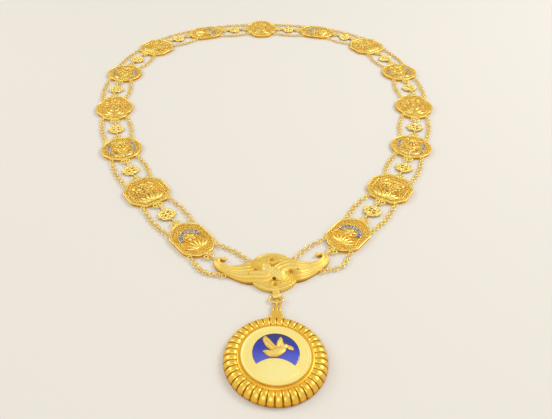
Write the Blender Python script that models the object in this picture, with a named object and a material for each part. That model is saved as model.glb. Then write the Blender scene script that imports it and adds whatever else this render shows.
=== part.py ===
"""A gilt collar of state with its medal, lying flat on Z = 0.

Metres, +Z up, +Y from the medal towards the nape, +X to the right. The origin is under the middle of the whole.
Fifteen plaques and fourteen knots make the loop, fine chains run along both sides, and the medal hangs
from a centre piece of a round medallion under a fluted ribbon.
"""

import math

import bmesh
import bpy
import numpy as np
from mathutils import Matrix, Vector

# Clearances and shared wires
TOUCH = 0.0003  # kept between two pieces that touch
SINK = 0.0006  # how far a soldered piece goes into its neighbour
SIDES = 6  # of a small soldered ring

# Plaques
PLAQUE_HEIGHT = 0.0030
FIELD_DEPTH = 0.0009
RIM_WIDTH = 0.0013
RELIEF_HEIGHT = 0.0010
LOBED_WIDTH, LOBED_LENGTH = 0.0360, 0.0420
CRESCENT_WIDTH, CRESCENT_LENGTH = 0.0360, 0.0346
OCTAGON_WIDTH, OCTAGON_LENGTH = 0.0356, 0.0356
ARCHED_WIDTH, ARCHED_LENGTH = 0.0286, 0.0398

# Soldered rings, a flat ring each, at the plaques' corners and along the wings
RING_HOLE = 0.0011  # radius
RING_WALL = 0.0009
RING_LOW = 0.0014  # height of the ring's underside
RING_THICKNESS = 0.0009
RING_OUT = 0.0015  # the ring's centre stands this far outside the edge that carries it
CHAIN_SPREAD = 0.0232  # between the two side chains

# Scroll bails at the plaques' ends
BAIL_WIDTH = 0.0084
EYE_OUT = 0.0030  # the middle of the eye, a slot along the chain, stands this far outside the plaque's end
EYE_LENGTH = 0.0036
EYE_WALL = 0.0007
EYE_PLAY = 0.00090  # how far a loop can slide off the middle of its eye

# Knots between the plaques
KNOT_WIDTH = 0.0157
KNOT_LENGTH = 0.0140
KNOT_HEIGHT = 0.0032
KNOT_SLOT = 0.0014  # side of a gap between its cords
KNOT_REACH = 0.00535  # from the knot's end to the tip of its wire loop
LOOP_WIRE = 0.0008
LOOP_HEIGHT = 0.0027  # between the centres of the loop's two legs

# Side chains
CHAIN_DIAMETER = 0.0034
CHAIN_BOW = 0.0017  # each run bows this far away from its knot
TIP_BOW = 0.0050  # and the outer runs beside the centre piece this far round its tips

# Centre piece
ROUND_DIAMETER = 0.0364
ROUND_HEIGHT = 0.0030
WING_SPAN = 0.0836
WING_DEPTH = 0.0266  # from the ribbon's lowest edge to the top of its curls
RIBBON_EDGE = 0.0018  # thickness at the ribbon's edges
RIBBON_CROWN = 0.0010
FLUTE_DEPTH = 0.0005
RIBBON_LIFT = 0.0016  # how much higher the ribbon lies where it crosses the round
TIP_REACH = 0.0054  # from a wing's edge to the eye that its wire ring holds
TIP_AIM = math.radians(42)  # the ring's slant above level
CENTRE_TURN = math.radians(3.6)  # it lies with its left wing a little lower

# Hanger
OVAL_LENGTH = 0.0111  # across
OVAL_WIDTH = 0.0070
OVAL_WIRE = 0.0014
STRAP_WIDTH = 0.0059
STRAP_WALL = 0.0008
STRAP_LENGTH = 0.0046
STRAP_REACH = 0.0041  # from the round's edge to the middle of the loop under it
POST_LENGTH = 0.0083
POST_WIDTH = 0.0017
BRACKET_WIDTH = 0.0099
BRACKET_LENGTH = 0.0058
BRACKET_HEIGHT = 0.0030

# Medal
MEDAL_DIAMETER = 0.0650
MEDAL_TURN = math.radians(-3.2)
PETAL_COUNT = 40
PETAL_HEIGHT = 0.0069
PETAL_VALLEY = 0.0010  # how deep the grooves between the petals are
BED_HEIGHT = 0.0057  # the flat that the disc lies on
DISC_DIAMETER = 0.0437
DISC_THICKNESS = 0.0019
DISC_RIM = 0.0006
RIM_RISE = 0.0003
ENAMEL_DIAMETER = 0.0293
ENAMEL_RISE = 0.0013  # its circle's centre lies this far above the disc's
ENAMEL_THICKNESS = 0.0006
POCKET_DEPTH = 0.0013
GLOBE_RADIUS = 0.0167
GLOBE_DROP = 0.0028  # the globe's top lies this far below the disc's centre
DOVE_WIDTH = 0.0170
DOVE_THICKNESS = 0.0008

GOLD = ("gilt", (0.83, 0.55, 0.13), 0.30, 1.0)
PALE_GOLD = ("pale_matt_gilt", (0.86, 0.68, 0.30), 0.48, 1.0)
BLUE = ("blue_enamel", (0.01, 0.03, 0.42), 0.08, 0.0)

# Outlines of the plaques, a quarter each from the side to the end, as shares of half the width and length
LOBED_QUARTER = [(1.00, 0.18), (0.88, 0.44), (0.69, 0.58), (0.62, 0.80), (0.34, 1.00)]
OCTAGON_QUARTER = [(1.00, 0.44), (0.51, 1.00)]
ARCHED_QUARTER = [(1.00, 0.52), (0.45, 0.94), (0.00, 1.00)]
ROUND_STEPS = 16  # sides of the round plaque

# Raised work on each design: its width and length; bosses as x, y and radius; leaves as root x and y, tip x and y;
# all as shares of the width and length
LEAF_WIDTH = 0.10
RELIEF = {
    "lobed": (
        LOBED_WIDTH,
        LOBED_LENGTH,
        [(-0.17, 0.10, 0.080), (0.17, 0.10, 0.080), (0.00, 0.22, 0.080)],
        [(0.00, -0.38, 0.00, -0.06)],
    ),
    "crescent": (
        CRESCENT_WIDTH,
        CRESCENT_LENGTH,
        [(-0.13, 0.06, 0.085), (0.13, 0.06, 0.085), (0.00, 0.22, 0.085)],
        [],
    ),
    "octagon": (
        OCTAGON_WIDTH,
        OCTAGON_LENGTH,
        [(-0.20, 0.08, 0.090), (0.17, 0.05, 0.090), (0.00, 0.26, 0.090)],
        [(0.00, -0.38, 0.00, -0.06)],
    ),
    "arched": (
        ARCHED_WIDTH,
        ARCHED_LENGTH,
        [(0.00, 0.09, 0.130)],
        [(-0.08, -0.38, -0.28, -0.08), (0.08, -0.38, 0.28, -0.08)],
    ),
}

# Plaques down each side from the nape: number, design, the chain's heading there in degrees, turned down
# from level, on the right and on the left, and how taut the loops above it are, from -1 pushed together to 1
STATIONS = [
    (7, "arched", 15, 19, -1.00),
    (6, "octagon", 56, 52, -0.35),
    (5, "crescent", 78, 79, 0.70),
    (4, "lobed", 98, 99.5, 0.75),
    (3, "crescent", 109, 108.5, 1.00),
    (2, "octagon", 122.5, 123, 0.90),
    (1, "arched", 129.5, 127.5, 0.55),
]

# Sections of the right wing from the middle to the tip: outer edge x, y and inner edge x, y,
# as shares of half the span and of the wing's depth
WING_SECTIONS = [
    (0.000, -0.380, 0.000, 0.300),
    (0.170, -0.395, 0.160, 0.380),
    (0.325, -0.372, 0.310, 0.436),
    (0.490, -0.327, 0.440, 0.365),
    (0.665, -0.180, 0.595, 0.312),
    (0.828, 0.004, 0.725, 0.316),
    (0.943, 0.180, 0.818, 0.383),
    (1.000, 0.395, 0.876, 0.462),
    (0.971, 0.556, 0.885, 0.511),
    (0.900, 0.624, 0.876, 0.541),
    (0.813, 0.628, 0.804, 0.515),
]
FLUTES = 3

# Sections of a petal from the medal's middle to its back: radius as a share, crest height as a share,
# and how much of the groove shows
PETAL_SECTIONS = [
    (0.790, 1.00, 1.0),
    (0.930, 0.85, 1.0),
    (1.000, 0.32, 0.8),
]

# Outline of the dove with its twig, flying to the right, as shares of its width
DOVE_OUTLINE = [
    (0.62, 0.06), (0.86, -0.02), (0.98, 0.03), (0.88, 0.10), (0.99, 0.17), (0.84, 0.19), (0.74, 0.24),
    (0.66, 0.33), (0.56, 0.31), (0.52, 0.24), (0.53, 0.42), (0.49, 0.66), (0.40, 0.50), (0.34, 0.34),
    (0.22, 0.50), (0.02, 0.68), (0.06, 0.46), (0.17, 0.24), (0.00, 0.12), (0.05, 0.03), (0.22, 0.06),
    (0.30, -0.07), (0.44, -0.11), (0.56, -0.06),
]


def clear_scene():
    for old in list(bpy.data.objects):
        bpy.data.objects.remove(old)


def new_material(name, colour, roughness, metallic):
    material = bpy.data.materials.get(name) or bpy.data.materials.new(name)
    material.use_nodes = True
    shader = material.node_tree.nodes["Principled BSDF"]
    shader.inputs["Base Color"].default_value = (*colour, 1)
    shader.inputs["Roughness"].default_value = roughness
    shader.inputs["Metallic"].default_value = metallic
    return material


def polar(radius, angle):
    return Vector((radius * math.cos(angle), radius * math.sin(angle)))


def circle(radius, sides, centre=(0, 0), start=0.0):
    return [Vector(centre) + polar(radius, start + 2 * math.pi * k / sides) for k in range(sides)]


def whole_outline(quarter, half_width, half_length):
    """Mirrors a quarter outline into the whole one, anticlockwise."""
    right = [Vector((x * half_width, y * half_length)) for x, y in quarter]
    top = right + [Vector((-p.x, p.y)) for p in reversed(right) if p.x > 0]
    return top + [Vector((p.x, -p.y)) for p in reversed(top) if p.y > 0]


def inset(outline, width):
    """The outline moved inwards by this width, with mitred corners."""
    moved = []
    for before, here, after in zip([outline[-1]] + outline[:-1], outline, outline[1:] + [outline[0]]):
        first, second = (here - before).normalized(), (after - here).normalized()
        inward = [Vector((-d.y, d.x)) for d in (first, second)]
        moved.append(here + (inward[0] + inward[1]) * width / (1 + inward[0].dot(inward[1])))
    return moved


def edge_above(outline, across):
    """The outline's height over this place right of the middle, and its outward normal there."""
    for here, after in zip(outline, outline[1:]):
        if after.x <= across <= here.x and here.y >= 0:
            along = (after - here).normalized()
            share = (here.x - across) / max(here.x - after.x, 1e-9)
            return here.y + share * (after.y - here.y), Vector((along.y, -along.x))
    return outline[0].y, Vector((0, 1))


def loft(bm, rings):
    """Skins closed rings of equally many points, the first and last closed by a face."""
    rows = [[bm.verts.new(p) for p in ring] for ring in rings]
    count = len(rows[0])
    for low, high in zip(rows, rows[1:]):
        for k in range(count):
            after = (k + 1) % count
            bm.faces.new((low[k], low[after], high[after], high[k]))
    bm.faces.new(list(reversed(rows[0])))
    bm.faces.new(rows[-1])


def at_height(outline, height):
    return [Vector((p[0], p[1], height)) for p in outline]


def pierced_plate(bm, outline, holes, low, high):
    """A flat plate with the holes cut through it."""
    fresh = bmesh.new()
    edges = []
    for ring in [outline] + holes:
        corners = [fresh.verts.new((p[0], p[1], low)) for p in ring]
        edges += [fresh.edges.new((a, b)) for a, b in zip(corners, corners[1:] + corners[:1])]
    bmesh.ops.triangle_fill(fresh, use_beauty=True, edges=edges)
    raised = bmesh.ops.extrude_face_region(fresh, geom=fresh.faces[:])["geom"]
    lifted = [item for item in raised if isinstance(item, bmesh.types.BMVert)]
    bmesh.ops.translate(fresh, vec=(0, 0, high - low), verts=lifted)
    bmesh.ops.recalc_face_normals(fresh, faces=fresh.faces[:])
    add_to(bm, fresh)


def add_to(bm, fresh):
    """Moves all of one bmesh into another."""
    kept = {v: bm.verts.new(v.co) for v in fresh.verts}
    for face in fresh.faces:
        bm.faces.new([kept[v] for v in face.verts])
    fresh.free()


def pyramid(bm, footprint, peak, low, high):
    """A raised leaf or boss: a footprint drawn up to one point."""
    base = [bm.verts.new((p[0], p[1], low)) for p in footprint]
    top = bm.verts.new((peak[0], peak[1], high))
    for here, after in zip(base, base[1:] + base[:1]):
        bm.faces.new((here, after, top))
    bm.faces.new(list(reversed(base)))


def leaf(bm, root, tip, width, low, high):
    """A pointed leaf, widest and highest at its middle."""
    root, tip = Vector(root), Vector(tip)
    side = Vector((root.y - tip.y, tip.x - root.x)).normalized() * width / 2
    middle = (root + tip) / 2
    pyramid(bm, [root, middle - side, tip, middle + side], middle, low, high)


def swept(bm, points, frame_side, radius, sides, closed=False):
    """A round wire along points that lie in one plane, whose normal is frame_side."""
    rings = []
    count = len(points)
    for k, here in enumerate(points):
        if closed:
            along = points[(k + 1) % count] - points[k - 1]
        else:
            along = points[min(k + 1, count - 1)] - points[max(k - 1, 0)]
        outward = frame_side.cross(along.normalized())
        turns = [2 * math.pi * s / sides for s in range(sides)]
        rings.append([here + radius * (math.cos(a) * outward + math.sin(a) * frame_side) for a in turns])
    if not closed:
        fresh = bmesh.new()
        loft(fresh, rings)
    else:
        fresh = bmesh.new()
        rows = [[fresh.verts.new(p) for p in ring] for ring in rings]
        for low, high in zip(rows, rows[1:] + rows[:1]):
            for s in range(sides):
                after = (s + 1) % sides
                fresh.faces.new((low[s], low[after], high[after], high[s]))
    bmesh.ops.recalc_face_normals(fresh, faces=fresh.faces[:])
    add_to(bm, fresh)


def helper(bm, name):
    """An object that only serves a Boolean."""
    mesh = bpy.data.meshes.new(name)
    bm.to_mesh(mesh)
    bm.free()
    made = bpy.data.objects.new(name, mesh)
    made.hide_render = True
    made.display_type = "WIRE"
    bpy.context.scene.collection.objects.link(made)
    return made


def combined(name, base, added=(), cut=()):
    """One mesh from helpers: the base with the others joined to it, less the cutters."""
    for operation, others in (("UNION", added), ("DIFFERENCE", cut)):
        for other in others:
            step = base.modifiers.new(other.name, "BOOLEAN")
            step.operation = operation
            step.object = other
            step.solver = "EXACT"
            step.use_self = True
    bpy.context.view_layer.update()
    graph = bpy.context.evaluated_depsgraph_get()
    mesh = bpy.data.meshes.new_from_object(base.evaluated_get(graph))
    mesh.name = name
    for used in [base, *added, *cut]:
        bpy.data.objects.remove(used)
    return mesh


def place(name, mesh, spot, turn, finish, parent):
    """One piece at its place on the surface."""
    made = bpy.data.objects.new(name, mesh)
    made.parent = parent
    made.location = (spot[0], spot[1], 0)
    made.rotation_euler = (0, 0, turn)
    if not mesh.materials:
        mesh.materials.append(new_material(*finish))
    mesh.shade_smooth()
    mesh.set_sharp_from_angle(angle=math.radians(32))
    bpy.context.scene.collection.objects.link(made)
    return made


def ring_plate(bm, centre):
    """A small flat ring soldered to an edge."""
    outer = circle(RING_HOLE + RING_WALL, SIDES, centre, math.pi / SIDES)
    hole = circle(RING_HOLE, SIDES, centre, math.pi / SIDES)
    pierced_plate(bm, outer, [hole], RING_LOW, RING_LOW + RING_THICKNESS)


# Plaques

def plaque_outline(design):
    if design == "crescent":
        half_width, half_length = CRESCENT_WIDTH / 2, CRESCENT_LENGTH / 2
        return [Vector((p.x * half_width, p.y * half_length)) for p in circle(1, ROUND_STEPS)]
    if design == "octagon":
        return whole_outline(OCTAGON_QUARTER, OCTAGON_WIDTH / 2, OCTAGON_LENGTH / 2)
    if design == "arched":
        return whole_outline(ARCHED_QUARTER, ARCHED_WIDTH / 2, ARCHED_LENGTH / 2)
    if design == "lobed":
        return whole_outline(LOBED_QUARTER, LOBED_WIDTH / 2, LOBED_LENGTH / 2)
    turned = [(y, x) for x, y in reversed(LOBED_QUARTER)]  # the nape's, with its flowers across the chain
    return whole_outline(turned, LOBED_LENGTH / 2, LOBED_WIDTH / 2)


def half_length(design):
    return max(p.y for p in plaque_outline(design))


def corner_ring(design):
    """Centre of the corner ring at the upper right, in the plaque's own frame."""
    across = (CHAIN_SPREAD - RING_OUT) / 2
    height, outward = edge_above(plaque_outline(design), across)
    return Vector((across, height)) + outward * RING_OUT


def bail_plate(bm, end, way):
    """A scroll bail at the plaque's end: curls at the sides and, between them, the eye that a loop runs through."""
    half = BAIL_WIDTH / 2
    swing = EYE_LENGTH / 2 - RING_HOLE
    tip = Vector((0, end + EYE_OUT + swing))
    right = [Vector((half, end - SINK)), Vector((half * 0.86, end + EYE_OUT))]
    arc = [tip + polar(RING_HOLE + EYE_WALL, a) for a in np.linspace(0.1, 0.9, 4) * math.pi]
    outline = right + arc + [Vector((-p.x, p.y)) for p in reversed(right)]
    near = Vector((0, end + EYE_OUT - swing))
    hole = [tip + polar(RING_HOLE, a) for a in np.linspace(0, 1, 3) * math.pi]
    hole += [near + polar(RING_HOLE, a) for a in np.linspace(1, 2, 3) * math.pi]
    outline, hole = ([Vector((p.x, p.y * way)) for p in ring] for ring in (outline, hole))
    pierced_plate(bm, outline, [hole], RING_LOW, RING_LOW + RING_THICKNESS)


def arc_band(bm, centre, radius, width, start, end, low, high):
    """A raised band along an arc, highest along its middle."""
    steps = 5
    rings = []
    for angle in np.linspace(start, end, steps):
        for_ring = []
        for reach, height in ((radius - width / 2, low), (radius + width / 2, low), (radius, high)):
            spot = Vector(centre) + polar(reach, angle)
            for_ring.append(Vector((spot.x, spot.y, height)))
        rings.append(for_ring)
    fresh = bmesh.new()
    loft(fresh, rings)
    bmesh.ops.recalc_face_normals(fresh, faces=fresh.faces[:])
    add_to(bm, fresh)


def relief(design):
    """The raised flowers, leaves and bands on a plaque's field, each a body of its own."""
    bm = bmesh.new()
    field = PLAQUE_HEIGHT - FIELD_DEPTH
    low, high = field - FIELD_DEPTH / 3, field + RELIEF_HEIGHT
    width, length, bosses, leaves = RELIEF["lobed" if design == "nape" else design]
    for x, y, size in bosses:
        pyramid(bm, circle(width * size, 5, (x * width, y * length)), (x * width, y * length), low, high)
    for foot, y, reach, tip in leaves:
        leaf(bm, (foot * width, y * length), (reach * width, tip * length), width * LEAF_WIDTH, low, high)
    if design == "nape":
        bmesh.ops.rotate(bm, verts=bm.verts, matrix=Matrix.Rotation(-math.pi / 2, 3, "Z"))
    if design == "crescent":
        arc_band(bm, (0, 0), width * 0.33, width * 0.11, math.radians(-200), math.radians(20), low, high)
    if design == "arched":
        arc_band(bm, (0, 0.09 * length), width * 0.26, width * 0.12, 0.0, math.pi, low, high)
    return helper(bm, f"{design}_relief")


def plaque_mesh(design):
    """A plate with a raised rim, its relief, four corner rings and two bails. Its own +Y points to the nape."""
    outline = plaque_outline(design)
    slope = RIM_WIDTH + FIELD_DEPTH / 2
    field = PLAQUE_HEIGHT - FIELD_DEPTH
    plate = bmesh.new()
    loft(plate, [
        at_height(outline, 0),
        at_height(outline, PLAQUE_HEIGHT),
        at_height(inset(outline, RIM_WIDTH), PLAQUE_HEIGHT),
        at_height(inset(outline, slope), field),
    ])
    rings = bmesh.new()
    corner = corner_ring(design)
    for x in (-1, 1):
        for y in (-1, 1):
            ring_plate(rings, (corner.x * x, corner.y * y))
    for way in (-1, 1):
        bail_plate(rings, half_length(design), way)
    base = helper(plate, f"{design}_plate")
    return combined(design, base, [relief(design), helper(rings, "rings")])


# Knots

def knot_mesh():
    """An endless knot, pierced between its cords, with an upright wire loop at both ends."""
    half_width, half_length_ = KNOT_WIDTH / 2, KNOT_LENGTH / 2
    quarter = [(1.00, 0.22), (0.78, 0.72), (0.24, 1.00)]
    body = bmesh.new()
    holes = []
    for x in (-0.42, 0.42):
        holes.append(circle(KNOT_SLOT * math.sqrt(0.5), 4, (x * half_width, 0)))
    pierced_plate(body, whole_outline(quarter, half_width, half_length_), holes, 0, KNOT_HEIGHT)
    middle = RING_LOW + RING_THICKNESS / 2
    bend = LOOP_HEIGHT / 2
    loops = bmesh.new()
    for way in (-1, 1):
        start, centre = half_length_ - SINK, half_length_ + KNOT_REACH - bend
        arc = [(centre + bend * math.cos(a), bend * math.sin(a)) for a in np.linspace(-math.pi / 2, math.pi / 2, 4)]
        path = [(start, -bend)] + arc + [(start, bend)]
        points = [Vector((0, way * y, middle + z)) for y, z in path]
        swept(loops, points, Vector((1, 0, 0)), LOOP_WIRE / 2, 5)
    return combined("knot", helper(body, "knot_body"), [helper(loops, "knot_loops")])


# Side chains

def chain_route(start, end, away, start_gap, end_gap, bow):
    """Points of a run between two ring centres: it leaves each ring's edge and bows away from the knot."""
    along = (end - start).normalized()
    first, last = start + along * start_gap, end - along * end_gap
    points = []
    for share in np.linspace(0, 1, 3):
        spot = first.lerp(last, share) + away * bow * math.sin(math.pi * share)
        points.append(Vector((spot.x, spot.y, CHAIN_DIAMETER / 2)))
    return points


def chain_curve(name, points):
    data = bpy.data.curves.new(name, "CURVE")
    data.dimensions = "3D"
    data.bevel_depth = CHAIN_DIAMETER / 2
    data.bevel_resolution = 2
    data.use_fill_caps = True
    spline = data.splines.new("POLY")
    spline.points.add(len(points) - 1)
    for knob, spot in zip(spline.points, points):
        knob.co = (*spot, 1)
    return data


def chain_helper(points):
    """A run as a closed mesh, to be joined to its plaque."""
    carrier = bpy.data.objects.new("run", chain_curve("run", points))
    bpy.context.scene.collection.objects.link(carrier)
    bpy.context.view_layer.update()
    graph = bpy.context.evaluated_depsgraph_get()
    bm = bmesh.new()
    bm.from_mesh(bpy.data.meshes.new_from_object(carrier.evaluated_get(graph)))
    bmesh.ops.remove_doubles(bm, verts=bm.verts, dist=1e-6)
    bmesh.ops.recalc_face_normals(bm, faces=bm.faces[:])
    bpy.data.objects.remove(carrier)
    return helper(bm, "run")


# Centre piece

def wing_points(sections):
    half_span = WING_SPAN / 2
    return [
        (Vector((ax * half_span, ay * WING_DEPTH)), Vector((bx * half_span, by * WING_DEPTH)))
        for ax, ay, bx, by in sections
    ]


def wing_edge(first, share, out, inner=False):
    """A place on the right wing's edge between two sections, this far outside it, and the way out."""
    sections = wing_points(WING_SECTIONS)
    here, after = sections[first][inner], sections[first + 1][inner]
    along = (after - here).normalized()
    outward = Vector((-along.y, along.x)) if inner else Vector((along.y, -along.x))
    return here.lerp(after, share) + outward * out, outward


def wing_ring(which):
    """Centres of the rings for the side chains: inner, on the upper edge beside the round, and outer, near the tip."""
    if which == "inner":
        return wing_edge(2, 0.45, RING_OUT, inner=True)[0]
    return wing_edge(4, 0.95, RING_OUT)[0]


def tip_pivot():
    """Where the tip's ring holds the first plaque's eye, and the way out to it."""
    outward = polar(1, TIP_AIM)
    return wing_points(WING_SECTIONS)[8][0] + outward * TIP_REACH, outward


def ribbon_section(outer, inner, lift):
    """A closed ring across the ribbon: a fluted, crowned top over a flat underside."""
    count = 2 * FLUTES
    top = []
    for k in range(count + 1):
        share = k / count
        spot = outer.lerp(inner, share)
        rise = RIBBON_EDGE + RIBBON_CROWN * math.sin(math.pi * share) + (FLUTE_DEPTH if k % 2 else 0)
        top.append(Vector((spot.x, spot.y, rise + lift)))
    return [Vector((outer.x, outer.y, 0)), Vector((inner.x, inner.y, 0))] + list(reversed(top))


def centre_mesh():
    radius = ROUND_DIAMETER / 2
    sections = wing_points(WING_SECTIONS)
    rings = []
    left = [(Vector((-a.x, a.y)), Vector((-b.x, b.y))) for a, b in reversed(sections[1:])]
    for outer, inner in left + sections:
        middle = (outer + inner) / 2
        lift = RIBBON_LIFT * max(0.0, 1 - (abs(middle.x) / radius) ** 4)
        rings.append(ribbon_section(outer, inner, lift))
    ribbon = bmesh.new()
    loft(ribbon, rings)
    bmesh.ops.recalc_face_normals(ribbon, faces=ribbon.faces[:])

    disc = bmesh.new()
    sides = 24
    rim = circle(radius, sides)
    low_rim = inset(rim, RIM_WIDTH)
    loft(disc, [
        at_height(rim, 0),
        at_height(rim, ROUND_HEIGHT - FLUTE_DEPTH),
        at_height(low_rim, ROUND_HEIGHT),
        at_height(inset(rim, RIM_WIDTH * 2), ROUND_HEIGHT - FLUTE_DEPTH),
    ])

    rings_at = bmesh.new()
    for which in ("inner", "outer"):
        spot = wing_ring(which)
        for side in (-1, 1):
            ring_plate(rings_at, (side * spot.x, spot.y))

    tips = bmesh.new()
    pivot, outward = tip_pivot()
    middle = RING_LOW + RING_THICKNESS / 2
    bend = LOOP_HEIGHT / 2
    near = bend - TIP_REACH - 2 * SINK
    ends = [(-bend, np.linspace(-math.pi / 2, math.pi / 2, 4)), (near - bend, np.linspace(0.5, 1.5, 4) * math.pi)]
    profile = [(centre + bend * math.cos(a), bend * math.sin(a)) for centre, arc in ends for a in arc]
    for side in (-1, 1):
        way = Vector((side * outward.x, outward.y, 0))
        eye = Vector((side * pivot.x, pivot.y, middle))
        spots = [eye + way * reach + Vector((0, 0, rise)) for reach, rise in profile]
        swept(tips, spots, way.cross(Vector((0, 0, 1))), LOOP_WIRE / 2, 5, closed=True)

    loop = bmesh.new()
    strap_loop(loop, -radius - STRAP_REACH)
    near, far = -radius - STRAP_REACH + strap_hole()[0] + STRAP_WALL / 2, RIM_WIDTH - radius
    half = STRAP_WIDTH * 0.4
    neck = [(-half, near), (half, near), (half, far), (-half, far)]
    pierced_plate(loop, neck, [], ring_height() - STRAP_WALL, ring_height() + STRAP_WALL)

    holes = bmesh.new()
    for x, y, size in ((0, 0.28, 0.055), (0, -0.30, 0.050), (-0.62, -0.05, 0.03), (0.58, 0.10, 0.03)):
        pierced_plate(holes, circle(size * radius, 6, (x * radius, y * radius)), [], -SINK, 3 * ROUND_HEIGHT)
    return combined(
        "centre_piece",
        helper(ribbon, "ribbon"),
        [helper(disc, "round"), helper(rings_at, "rings"), helper(tips, "tips"), helper(loop, "loop")],
        [helper(holes, "piercings")],
    )


# Hanger and medal

def strap_hole():
    """Half sizes of the hole that the oval ring's wire runs through: along the hanger, and in height."""
    return STRAP_LENGTH / 2 - STRAP_WALL, OVAL_WIRE / 2 + 1.2 * TOUCH


def ring_height():
    """Height of the oval ring's plane, which both straps centre on."""
    return strap_hole()[1] + STRAP_WALL


def strap_loop(bm, centre_y):
    """A flattened strap loop round the oval ring's wire: a tube along X."""
    sides = 10
    half = STRAP_WIDTH / 2
    hole = strap_hole()
    outer = (hole[0] + STRAP_WALL, hole[1] + STRAP_WALL)
    fresh = bmesh.new()
    rows = []
    for x, (along, rise) in ((-half, hole), (-half, outer), (half, outer), (half, hole)):
        ring = [(along * p.x, ring_height() + rise * p.y) for p in circle(1, sides, start=math.pi / sides)]
        rows.append([fresh.verts.new((x, centre_y + y, z)) for y, z in ring])
    for low, high in zip(rows, rows[1:] + rows[:1]):
        for k in range(sides):
            after = (k + 1) % sides
            fresh.faces.new((low[k], low[after], high[after], high[k]))
    bmesh.ops.recalc_face_normals(fresh, faces=fresh.faces[:])
    add_to(bm, fresh)


def oval_ring():
    """The oval ring that lies flat through both straps."""
    across = (OVAL_LENGTH - OVAL_WIRE) / 2
    along = (OVAL_WIDTH - OVAL_WIRE) / 2
    bm = bmesh.new()
    spots = []
    for k in range(16):
        angle = 2 * math.pi * k / 16
        bulge = math.copysign(abs(math.cos(angle)) ** 0.8, math.cos(angle))
        spots.append(Vector((across * bulge, along * math.sin(angle), ring_height())))
    swept(bm, spots, Vector((0, 0, 1)), OVAL_WIRE / 2, 6, closed=True)
    mesh = bpy.data.meshes.new("oval_ring")
    bm.to_mesh(mesh)
    bm.free()
    return mesh


def medal_hang():
    """From the medal's centre up to the wire that its strap holds."""
    return MEDAL_DIAMETER / 2 + BRACKET_LENGTH + POST_LENGTH


def petals_mesh():
    radius = MEDAL_DIAMETER / 2
    petal = bmesh.new()
    steps = PETAL_COUNT * 2  # a groove and a crest to each petal
    rings = [at_height(circle(radius * 0.965, steps), 0)]
    for reach, height, groove in reversed(PETAL_SECTIONS):
        ring = []
        for k in range(steps):
            sunk = 0.0 if k % 2 else groove * PETAL_VALLEY
            spot = polar(radius * reach - sunk * 0.6, 2 * math.pi * k / steps)
            ring.append(Vector((spot.x, spot.y, PETAL_HEIGHT * height - sunk)))
        rings.append(ring)
    rings.append(at_height(circle(DISC_DIAMETER / 2 * 0.94, steps), BED_HEIGHT))
    loft(petal, rings)
    bmesh.ops.recalc_face_normals(petal, faces=petal.faces[:])

    bracket = bmesh.new()
    half = BRACKET_WIDTH / 2
    neck = STRAP_WIDTH / 2
    foot = radius - 3 * SINK
    top = radius + BRACKET_LENGTH
    outline = [
        (half * 0.8, foot), (half, radius + BRACKET_LENGTH * 0.22), (half * 0.85, radius + BRACKET_LENGTH * 0.42),
        (neck, radius + BRACKET_LENGTH * 0.7), (neck, top),
    ]
    outline = outline + [(-x, y) for x, y in reversed(outline)]
    pierced_plate(bracket, outline, [], TOUCH, BRACKET_HEIGHT)

    posts = bmesh.new()
    end = medal_hang() - strap_hole()[0] - STRAP_WALL / 2
    post_low = ring_height() - POST_WIDTH / 2
    for side in (-1, 1):
        outer, inner = side * neck, side * (neck - POST_WIDTH)
        corners = [(outer, top - SINK), (inner, top - SINK), (inner, end), (outer, end)]
        pierced_plate(posts, corners, [], post_low, post_low + POST_WIDTH)

    loop = bmesh.new()
    strap_loop(loop, medal_hang())
    return combined(
        "medal_petals",
        helper(petal, "petals"),
        [helper(bracket, "bracket"), helper(posts, "posts"), helper(loop, "loop")],
    )


def enamel_outline(grow):
    """The enamel's circle, cut off below by the globe's arc, grown or shrunk all round."""
    centre = Vector((0, ENAMEL_RISE))
    globe = Vector((0, -GLOBE_DROP - GLOBE_RADIUS))
    radius, arc = ENAMEL_DIAMETER / 2 + grow, GLOBE_RADIUS - grow
    apart = (centre - globe).length
    corner = math.acos((apart**2 + radius**2 - arc**2) / (2 * apart * radius))
    lean = math.asin(radius * math.sin(corner) / arc)
    round_part = [centre + polar(radius, a) for a in np.linspace(-math.pi / 2 + corner, math.pi * 1.5 - corner, 20)]
    globe_part = [globe + polar(arc, a) for a in np.linspace(math.pi / 2 + lean, math.pi / 2 - lean, 6)]
    return round_part + globe_part[1:-1]


def disc_low():
    return BED_HEIGHT + TOUCH


def disc_mesh():
    radius = DISC_DIAMETER / 2
    rim = circle(radius, 30)
    low, high = disc_low(), disc_low() + DISC_THICKNESS
    disc = bmesh.new()
    loft(disc, [
        at_height(rim, low),
        at_height(rim, high),
        at_height(inset(rim, DISC_RIM), high),
        at_height(inset(rim, DISC_RIM * 1.5), high - RIM_RISE),
    ])
    pocket = bmesh.new()
    pierced_plate(pocket, enamel_outline(0), [], high - POCKET_DEPTH, high + POCKET_DEPTH)
    return combined("medal_disc", helper(disc, "disc"), cut=[helper(pocket, "pocket")])


def enamel_low():
    return disc_low() + DISC_THICKNESS - POCKET_DEPTH + TOUCH


def enamel_mesh():
    bm = bmesh.new()
    outline = enamel_outline(-TOUCH)
    pierced_plate(bm, outline, [], enamel_low(), enamel_low() + ENAMEL_THICKNESS)
    mesh = bpy.data.meshes.new("medal_enamel")
    bm.to_mesh(mesh)
    bm.free()
    return mesh


def dove_mesh():
    low = enamel_low() + ENAMEL_THICKNESS + TOUCH
    shift = Vector((-0.44, 0.08))
    outline = [(Vector(p) + shift) * DOVE_WIDTH for p in DOVE_OUTLINE]
    bm = bmesh.new()
    pierced_plate(bm, outline, [], low, low + DOVE_THICKNESS)
    mesh = bpy.data.meshes.new("medal_dove")
    bm.to_mesh(mesh)
    bm.free()
    return mesh


# Lie of the collar

def heading_vector(angle):
    return Vector((math.cos(angle), -math.sin(angle)))


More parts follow.
